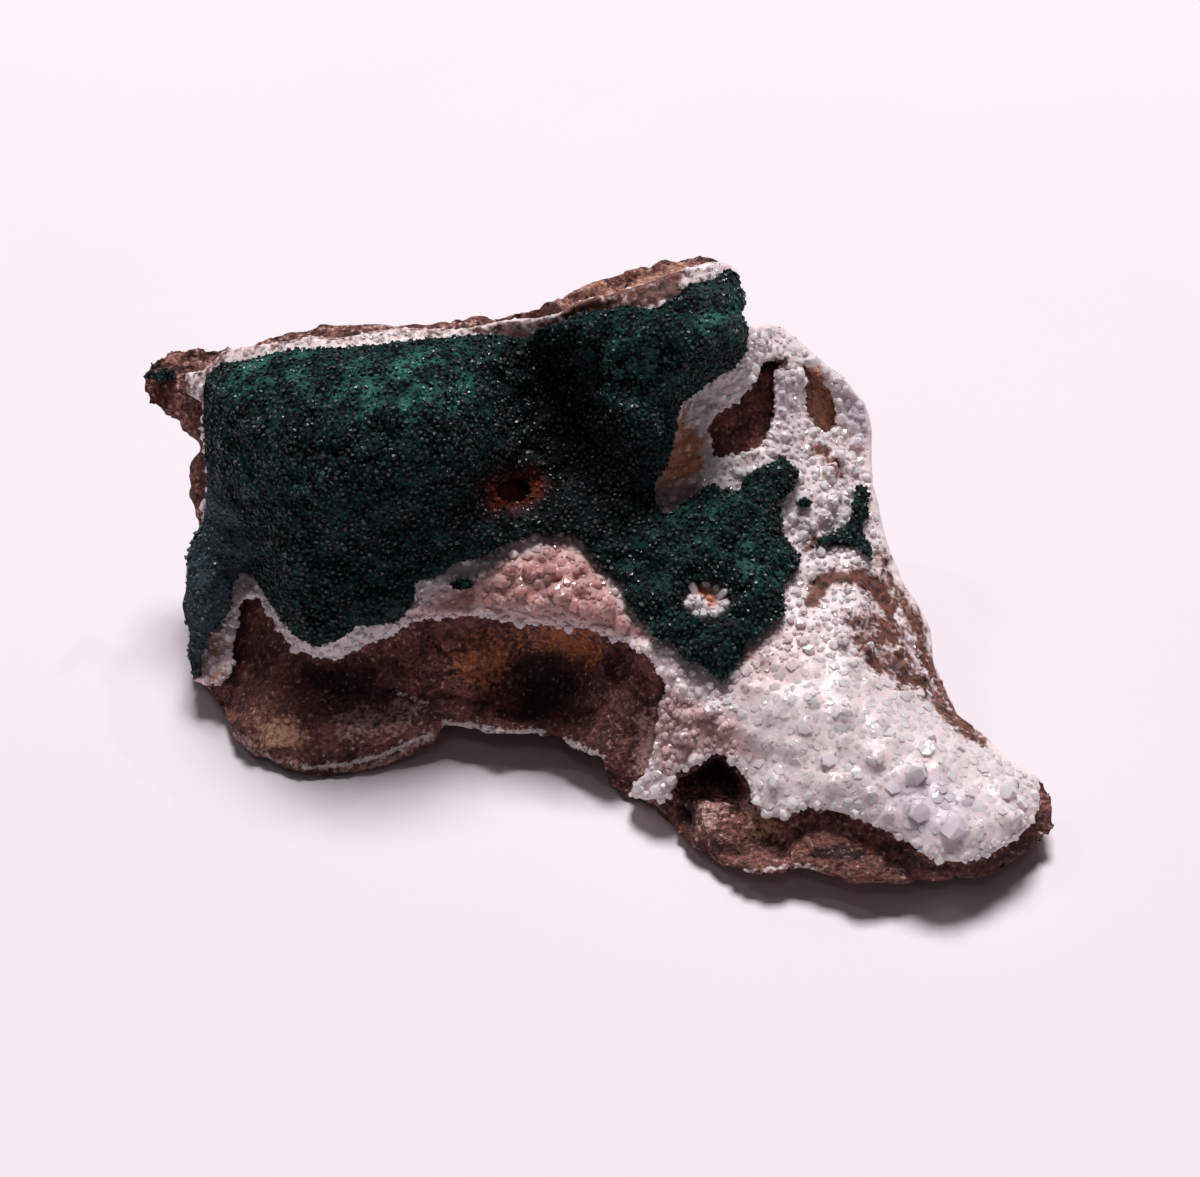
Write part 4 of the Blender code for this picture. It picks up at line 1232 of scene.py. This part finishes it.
@dataclass
class QuartzDruse:
    """The quartz crust with its points.

    Attributes:
        view: The viewpoint of its spots.
        node: The model's solid.
        step: The fine mesh's spacing.
        sunk: How far its far side sinks into the rock.
        seed: The start of its random numbers.
        large_spots: The largest points: the spot of each and its radius.
        knot: The middle of the ring of points inside the malachite.
        knot_points: How many points that ring has.
        knot_radius: The radius of each.
        knot_height: How tall they are beside the common points.
        point_sizes: The least and largest radius of each kind of point.
    """

    view: Viewpoint
    node: Thing
    step: float = 0.23
    sunk: float = 0.75
    seed: int = 5
    large_spots: tuple[tuple[float, float, float], ...] = (
        (921, 811, 0.7225), (926, 748, 0.595), (916, 775, 0.782), (948, 824, 0.833), (1006, 790, 0.6375),
        (893, 786, 0.595), (1023, 799, 0.68), (978, 809, 0.68),
    )
    knot: Spot = (707.0, 602.0)
    knot_points: int = 11
    knot_radius: float = 0.36
    knot_height: float = 3.2
    point_sizes: dict[str, tuple[float, float]] = field(default_factory=lambda: {
        "quartz_large_points": (0.26, 0.52),
        "quartz_small_points": (0.14, 0.27),
        "quartz_back_points": (0.2, 0.42),
    })

    def build(self) -> list[Thing]:
        """Makes the crust and its points.

        Returns:
            The crust, the large points, the small points and those on its far side.
        """
        random = np.random.default_rng(self.seed)
        thing = refined(self.node, "quartz_druse", self.step)
        skin = Skin(thing, self.view)
        skin.sink_back(self.sunk)
        front = skin.seen()
        domes = Cells(0.85, 3).domes(skin.points)
        fine = Cells(0.45, 9).domes(skin.points)
        proud = 1.0 - ARM.share(skin.spots, 20.0)
        skin.ease(26, 0.7 * (1.0 - proud) * front)
        swell = 0.1 * layered_noise(skin.points, 2.6, 3, 5)
        skin.raise_by(front * ((0.03 + 0.13 * proud) * domes + 0.04 * fine - 0.03 - 0.09 * proud + swell))
        self._store_marks(skin)
        thing.data.materials.clear()
        thing.data.materials.append(QuartzFinish().material())
        crystal = CrystalFinish().material()
        sown = (self._large_sites, self._small_sites, self._back_sites)
        large, small, back = (
            self._points(name, skin, sites(skin, random), radii, random)
            for (name, radii), sites in zip(self.point_sizes.items(), sown)
        )
        for points in (large, small, back):
            points.data.materials.append(crystal)
        return [thing, large, small, back]

    def _stained(self, spots: Array) -> dict[str, Array]:
        """How strong each stain is.

        Args:
            spots: Where it is asked for.

        Returns:
            The strength at each spot, by the stain's name.
        """
        stains = {name: strongest(marks, spots) for name, marks in QUARTZ_STAINS.items()}
        left_rim = QUARTZ_TOP_EDGE.near(spots, 12.0) * (spots[:, 0] < 570.0) * 0.46
        stains["brown"] = np.maximum(stains["brown"], left_rim)
        return stains

    def _store_marks(self, skin: Skin) -> None:
        """Keeps each stain's strength at the vertices.

        Args:
            skin: The crust's skin.
        """
        bent = skin.spots + 4.0 * np.column_stack([soft_noise(skin.points, 0.9, seed) for seed in (51, 53)])
        for name, share in self._stained(bent).items():
            skin.store(name, share * skin.seen())

    def _growing(self, skin: Skin) -> Array:
        """Where points can grow: the front, away from rock that shows through.

        Args:
            skin: The crust's skin.

        Returns:
            True or false for each vertex.
        """
        stains = self._stained(skin.spots)
        bare = (stains["brown"] > 0.4) | (stains["rusty"] > 0.3)
        return (skin.facing > 0.15) & ~bare & (OUTLINE.depth(skin.spots) > 5.0)

    def _large_sites(self, skin: Skin, random: np.random.Generator) -> Sites:
        """Where the larger points stand: all over the arm, sparser elsewhere.

        Args:
            skin: The crust's skin.
            random: The source of the choice.

        Returns:
            The sites.
        """
        chance = np.where(ARM.contains(skin.spots), 1.0, 0.6)
        return spread(skin, self._growing(skin) & (random.random(len(chance)) < chance), 0.7, random)

    def _small_sites(self, skin: Skin, random: np.random.Generator) -> Sites:
        """Where the small points stand: close together off the arm.

        Args:
            skin: The crust's skin.
            random: The source of the choice.

        Returns:
            The sites.
        """
        chance = np.where(ARM.contains(skin.spots), 0.1, 0.6)
        return spread(skin, self._growing(skin) & (random.random(len(chance)) < chance), 0.38, random)

    def _back_sites(self, skin: Skin, random: np.random.Generator) -> Sites:
        """Where points stand on the sides turned away from the camera.

        Args:
            skin: The crust's skin.
            random: The source of the choice.

        Returns:
            The sites.
        """
        turned = (skin.facing < -0.15) & (skin.normals[:, 2] > -0.35)
        return spread(skin, turned & (OUTLINE.depth(skin.spots) > 5.0), 0.5, random)

    def _points(self, name: str, skin: Skin, sites: Sites, radii: tuple[float, float],
                random: np.random.Generator) -> Thing:
        """Six-sided crystals with pointed ends at the sites: almost flush on the arm, standing elsewhere.

        Args:
            name: The new object's name.
            skin: The skin that they stand on.
            sites: Where they stand.
            radii: The least and largest radius.
            random: The source of their differences.

        Returns:
            All of them as one object.
        """
        starts = sites.points
        ways = sites.normals
        size = radii[0] + (radii[1] - radii[0]) * random.random(len(starts)) ** 1.6
        tall = np.ones(len(starts))
        if name == "quartz_large_points":
            starts, ways, size, tall = self._with_large(skin, starts, ways, size)
        count = len(starts)
        spots = self.view.spots_of(starts)
        flush = np.maximum(ARM.share(spots, 16.0), 0.6 * MOUND.share(spots, 10.0))
        proud = np.clip(1.0 - flush + (tall - 1.0), 0.0, 1.0)
        room = smooth_step(QUARTZ_TOP_EDGE.distance(spots), 3.0, 16.0)
        size = size * (0.65 + 0.35 * room) * (1.0 - 0.15 * proud)
        leans = ways + (0.12 + 0.28 * proud * room)[:, None] * random.normal(size=(count, 3))
        leans[:, 2] += 0.4 * proud * room
        frames = standing_frames(leans, random)
        around = np.arange(6) * math.tau / 6.0
        ring = np.column_stack([np.cos(around), np.sin(around), np.zeros(6)])
        form = np.zeros((count, 14, 3))
        root = -0.8 * size
        waist = 1.0 + 0.13 * random.normal(size=(count, 6, 1))
        rise = random.random((2, count))
        body = size * tall * (0.08 * rise[0] - 0.02 + proud * room * (0.12 + 0.55 * rise[0]))
        tip = size * (0.05 + 0.09 * rise[1] + proud * (0.25 + 0.3 * rise[1]))
        form[:, 0:6] = ring * size[:, None, None]
        form[:, 0:6, 2] = root[:, None]
        form[:, 6:12] = ring * waist * size[:, None, None] * 0.9
        uneven = (0.04 + 0.1 * proud)[:, None]
        form[:, 6:12, 2] = body[:, None] + uneven * size[:, None] * random.normal(size=(count, 6))
        form[:, 12, :2] = 0.25 * size[:, None] * random.normal(size=(count, 2))
        form[:, 12, 2] = body + tip
        form[:, 13, 2] = root
        faces = []
        for side in range(6):
            after = (side + 1) % 6
            faces += [(side, after, 6 + after), (side, 6 + after, 6 + side), (6 + side, 6 + after, 12),
                      (after, side, 13)]
        thing = joined_copies(name, form, np.array(faces), frames, starts, random.random(count))
        marks = Skin(thing, self.view)
        seen = np.repeat(-(ways * self.view.lines_to(starts)).sum(axis=1) > 0.0, form.shape[1])
        for mark, share in self._stained(marks.spots).items():
            marks.store(mark, share * seen)
        return thing

    def _with_large(self, skin: Skin, starts: Array, ways: Array,
                    size: Array) -> tuple[Array, Array, Array, Array]:
        """Adds the largest points at their own spots and the knot's ring, with the room round them cleared.

        Args:
            skin: The skin that they stand on.
            starts: Where the other points stand.
            ways: Which way those point.
            size: Their radii.

        Returns:
            The same with the new ones added, and how tall each is beside the common ones.
        """
        front = np.flatnonzero(skin.facing > 0.1)
        tall = np.ones(len(starts))
        added = [(x, y, radius, 1.0) for x, y, radius in self.large_spots]
        knot = np.array(self.knot)
        for turn in np.arange(self.knot_points) * math.tau / self.knot_points:
            reach = 17.0 + 3.0 * math.sin(3.0 * turn)
            x, y = knot + reach * np.array([math.cos(turn), 0.85 * math.sin(turn)])
            added.append((x, y, self.knot_radius, self.knot_height))
        middle = skin.points[front[np.argmin(((skin.spots[front] - knot) ** 2).sum(axis=1))]]
        for x, y, radius, height in added:
            nearest = front[np.argmin(((skin.spots[front] - (x, y)) ** 2).sum(axis=1))]
            free = np.linalg.norm(starts - skin.points[nearest], axis=1) > radius * 1.1
            way = skin.normals[nearest]
            if height > 1.0:
                way = way + 0.55 * unit((skin.points[nearest] - middle)[None, :])[0]
            starts = np.vstack([starts[free], skin.points[nearest]])
            ways = np.vstack([ways[free], way])
            size = np.append(size[free], radius)
            tall = np.append(tall[free], height)
        return starts, ways, size, tall


class Patch(Enum):
    """The malachite's separate pieces, by the model's nodes."""

    CRUST = "malachite_crust"
    RIGHT = "malachite_right_patch"
    SMALL = "malachite_small_spot"
    MOUND = "malachite_mound_spot"
    HORN = "malachite_horn_stripe"


MALACHITE_TONES_AND_LIGHT: dict[str, tuple[Mark, ...]] = {
    # Painted highlight: the lit tops of the bulges near the rim, the cap and the lower right.
    "emerald_highlight": (
        area(20.0, 1.0, (330, 362), (400, 345), (455, 348), (485, 380), (470, 430), (420, 445), (370, 420),
             (330, 400)),
        area(14.0, 0.8, (232, 362), (310, 350), (325, 380), (270, 400), (225, 392)),
        area(14.0, 0.9, (690, 305), (742, 290), (746, 348), (705, 356)),
        area(20.0, 0.55, (575, 345), (640, 300), (680, 320), (670, 390), (600, 405)),
        line(26.0, 0.6, (690, 520), (740, 520), (760, 560)),
        area(20.0, 0.45, (232, 430), (330, 450), (330, 520), (240, 510)),
    ),
    # Painted sheen on the smoother left flank and the cap, which also get fewer grains.
    "flank": (
        area(9.0, 1.0, (180, 480), (215, 470), (240, 520), (252, 560), (238, 580), (205, 690), (180, 640)),
        area(14.0, 0.5, (700, 288), (742, 280), (746, 340), (712, 352)),
    ),
    # Painted shade: the valley between the bulges and under the rim.
    "shade": (
        area(30.0, 1.0, (512, 342), (580, 338), (596, 400), (650, 470), (640, 520), (600, 560), (500, 530),
             (440, 512), (500, 440)),
    ),
    "rusty": (line(15.0, 1.0, (500, 494), (526, 484)),),
}


@dataclass
class Malachite:
    """One piece of malachite with its velvet of grains.

    Attributes:
        view: The viewpoint of its spots.
        node: The model's solid.
        patch: Which piece it is.
        step: The fine mesh's spacing.
        spacing: The grains' spacing.
        sunk: How far its far side sinks into the rock.
        seed: The start of its random numbers.
    """

    view: Viewpoint
    node: Thing
    patch: Patch
    step: float = 0.2
    spacing: float = 0.30
    sunk: float = 0.6
    seed: int = 71

    def build(self) -> list[Thing]:
        """Makes the piece and its grains.

        Returns:
            The piece and the grains on it.
        """
        random = np.random.default_rng(self.seed)
        name = self.patch.value.replace("malachite_", "green_")
        thing = refined(self.node, name, self.step)
        skin = Skin(thing, self.view)
        skin.sink_back(self.sunk)
        lumps = Cells(2.6, 91).domes(skin.points)
        knobs = Cells(0.95, 61).domes(skin.points)
        grain = Cells(0.36, 67).domes(skin.points)
        skin.raise_by(skin.seen() * (0.22 * lumps + 0.15 * knobs + 0.08 * grain - 0.28))
        self._store_tones_and_light(skin)
        finish = MalachiteFinish()
        thing.data.materials.clear()
        thing.data.materials.append(finish.material(name + "_finish", 0.45, 0.25, 0.12))
        grains = self._grains(name + "_grains", skin, random)
        grains.data.materials.append(finish.material(name + "_grain_finish", 0.05, 0.2, 0.6))
        return [thing, grains]

    @staticmethod
    def _store_tones_and_light(skin: Skin) -> None:
        """Keeps the tones, with the painted highlight, sheen and shade, at the vertices."""
        for name, marks in MALACHITE_TONES_AND_LIGHT.items():
            skin.store(name, strongest(marks, skin.spots))

    def _grains(self, name: str, skin: Skin, random: np.random.Generator) -> Thing:
        """Small faceted grains all over the front.

        Args:
            name: The new object's name.
            skin: The skin that they sit on.
            random: The source of their differences.

        Returns:
            All of them as one object.
        """
        smooth = strongest(MALACHITE_TONES_AND_LIGHT["flank"], skin.spots)
        allowed = (skin.facing > 0.05) & (random.random(len(smooth)) > 0.55 * smooth)
        sites = spread(skin, allowed, self.spacing, random)
        count = len(sites.points)
        size = 0.13 + 0.11 * random.random(count) ** 1.5
        around = np.arange(5) * math.tau / 5.0
        ring = np.column_stack([np.cos(around), np.sin(around), np.zeros(5)])
        form = np.zeros((count, 7, 3))
        form[:, :5] = ring * (1.0 + 0.16 * random.normal(size=(count, 5, 1)))
        form[:, :5, 2] = 0.25 * random.normal(size=(count, 5))
        form[:, 5:7, 2] = (0.85, -0.85)
        form *= size[:, None, None]
        faces = []
        for side in range(5):
            after = (side + 1) % 5
            faces += [(side, after, 5), (after, side, 6)]
        frames = standing_frames(sites.normals + 0.7 * random.normal(size=(count, 3)), random)
        thing = joined_copies(name, form, np.array(faces), frames, sites.points, random.random(count))
        self._store_tones_and_light(Skin(thing, self.view))
        return thing


@dataclass(frozen=True)
class Lamp:
    """One soft light.

    Attributes:
        name: What it is called.
        place: Where it hangs, in millimetres.
        size: The side of its square face.
        power: Its power in watts.
        tone: Its colour.
    """

    name: str
    place: tuple[float, float, float]
    size: float
    power: float
    tone: tuple[float, float, float] = (1.0, 1.0, 1.0)

    def add(self, aim: Vector) -> None:
        """Hangs the light, facing a point.

        Args:
            aim: The point.
        """
        lamp = bpy.data.lights.new(self.name, "AREA")
        lamp.shape = "SQUARE"
        lamp.size = self.size * MM
        lamp.energy = self.power
        lamp.color = self.tone
        thing = bpy.data.objects.new(self.name, lamp)
        thing.location = Vector(self.place) * MM
        thing.rotation_euler = (thing.location - aim).to_track_quat("Z", "Y").to_euler()
        bpy.context.scene.collection.objects.link(thing)


@dataclass
class Stage:
    """The floor, the light and the camera.

    Attributes:
        view: The viewpoint.
        floor_size: The floor's side.
        world_tone: The surrounding light's colour.
        world_strength: How strong it is.
        lamps: The lights.
    """

    view: Viewpoint
    floor_size: float = 4000.0
    world_tone: Colour = paint(246, 240, 246)
    world_strength: float = 0.042
    lamps: tuple[Lamp, ...] = (
        Lamp("window", (22.0, 424.0, 1070.0), 345.0, 14.2, (1.0, 0.965, 0.98)),
        Lamp("spark_left", (-520.0, 160.0, 800.0), 9.0, 0.25),
        Lamp("spark_right", (300.0, 420.0, 860.0), 9.0, 0.35),
        Lamp("spark_front", (-60.0, -420.0, 840.0), 9.0, 0.12),
    )

    def build(self) -> Thing:
        """Makes the floor, the lights, the world and the camera.

        Returns:
            The floor.
        """
        half = self.floor_size * MM / 2.0
        corners = [(-half, -half, 0.0), (half, -half, 0.0), (half, half, 0.0), (-half, half, 0.0)]
        mesh = bpy.data.meshes.new("floor")
        mesh.from_pydata(corners, [], [(0, 1, 2, 3)])
        floor = new_thing("floor", mesh)
        mesh.materials.append(FloorFinish().material())
        aim = Vector(self.view.aim) * MM
        for lamp in self.lamps:
            lamp.add(aim)
        self._set_world()
        self.view.add_camera()
        bpy.context.scene.view_settings.view_transform = "Standard"
        return floor

    def _set_world(self) -> None:
        """A plain pale surrounding light."""
        world = bpy.data.worlds.new("studio")
        world.use_nodes = True
        ground = world.node_tree.nodes["Background"]
        ground.inputs["Color"].default_value = self.world_tone
        ground.inputs["Strength"].default_value = self.world_strength
        bpy.context.scene.world = world


def settle(pieces: Iterable[Thing], node: str) -> None:
    """Says what the pieces are: they ride on the specimen and stand for a node.

    Args:
        pieces: The pieces.
        node: The node that they replace.
    """
    for piece in pieces:
        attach(piece, BODY)
        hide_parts(node)
        LOG.info("%s: %d faces", piece.name, len(piece.data.polygons))


def main() -> None:
    """Builds the specimen round the model, then the stage."""
    logging.basicConfig(level=logging.INFO)
    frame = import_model()
    nodes = frame["nodes"]
    view = Viewpoint()
    settle([RockBody(view, nodes["rock_matrix"]).build()], "rock_matrix")
    settle(QuartzDruse(view, nodes["quartz_crust"]).build(), "quartz_crust")
    for patch in Patch:
        settle(Malachite(view, nodes[patch.value], patch).build(), patch.value)
    Stage(view).build()


if __name__ == "__main__":
    main()
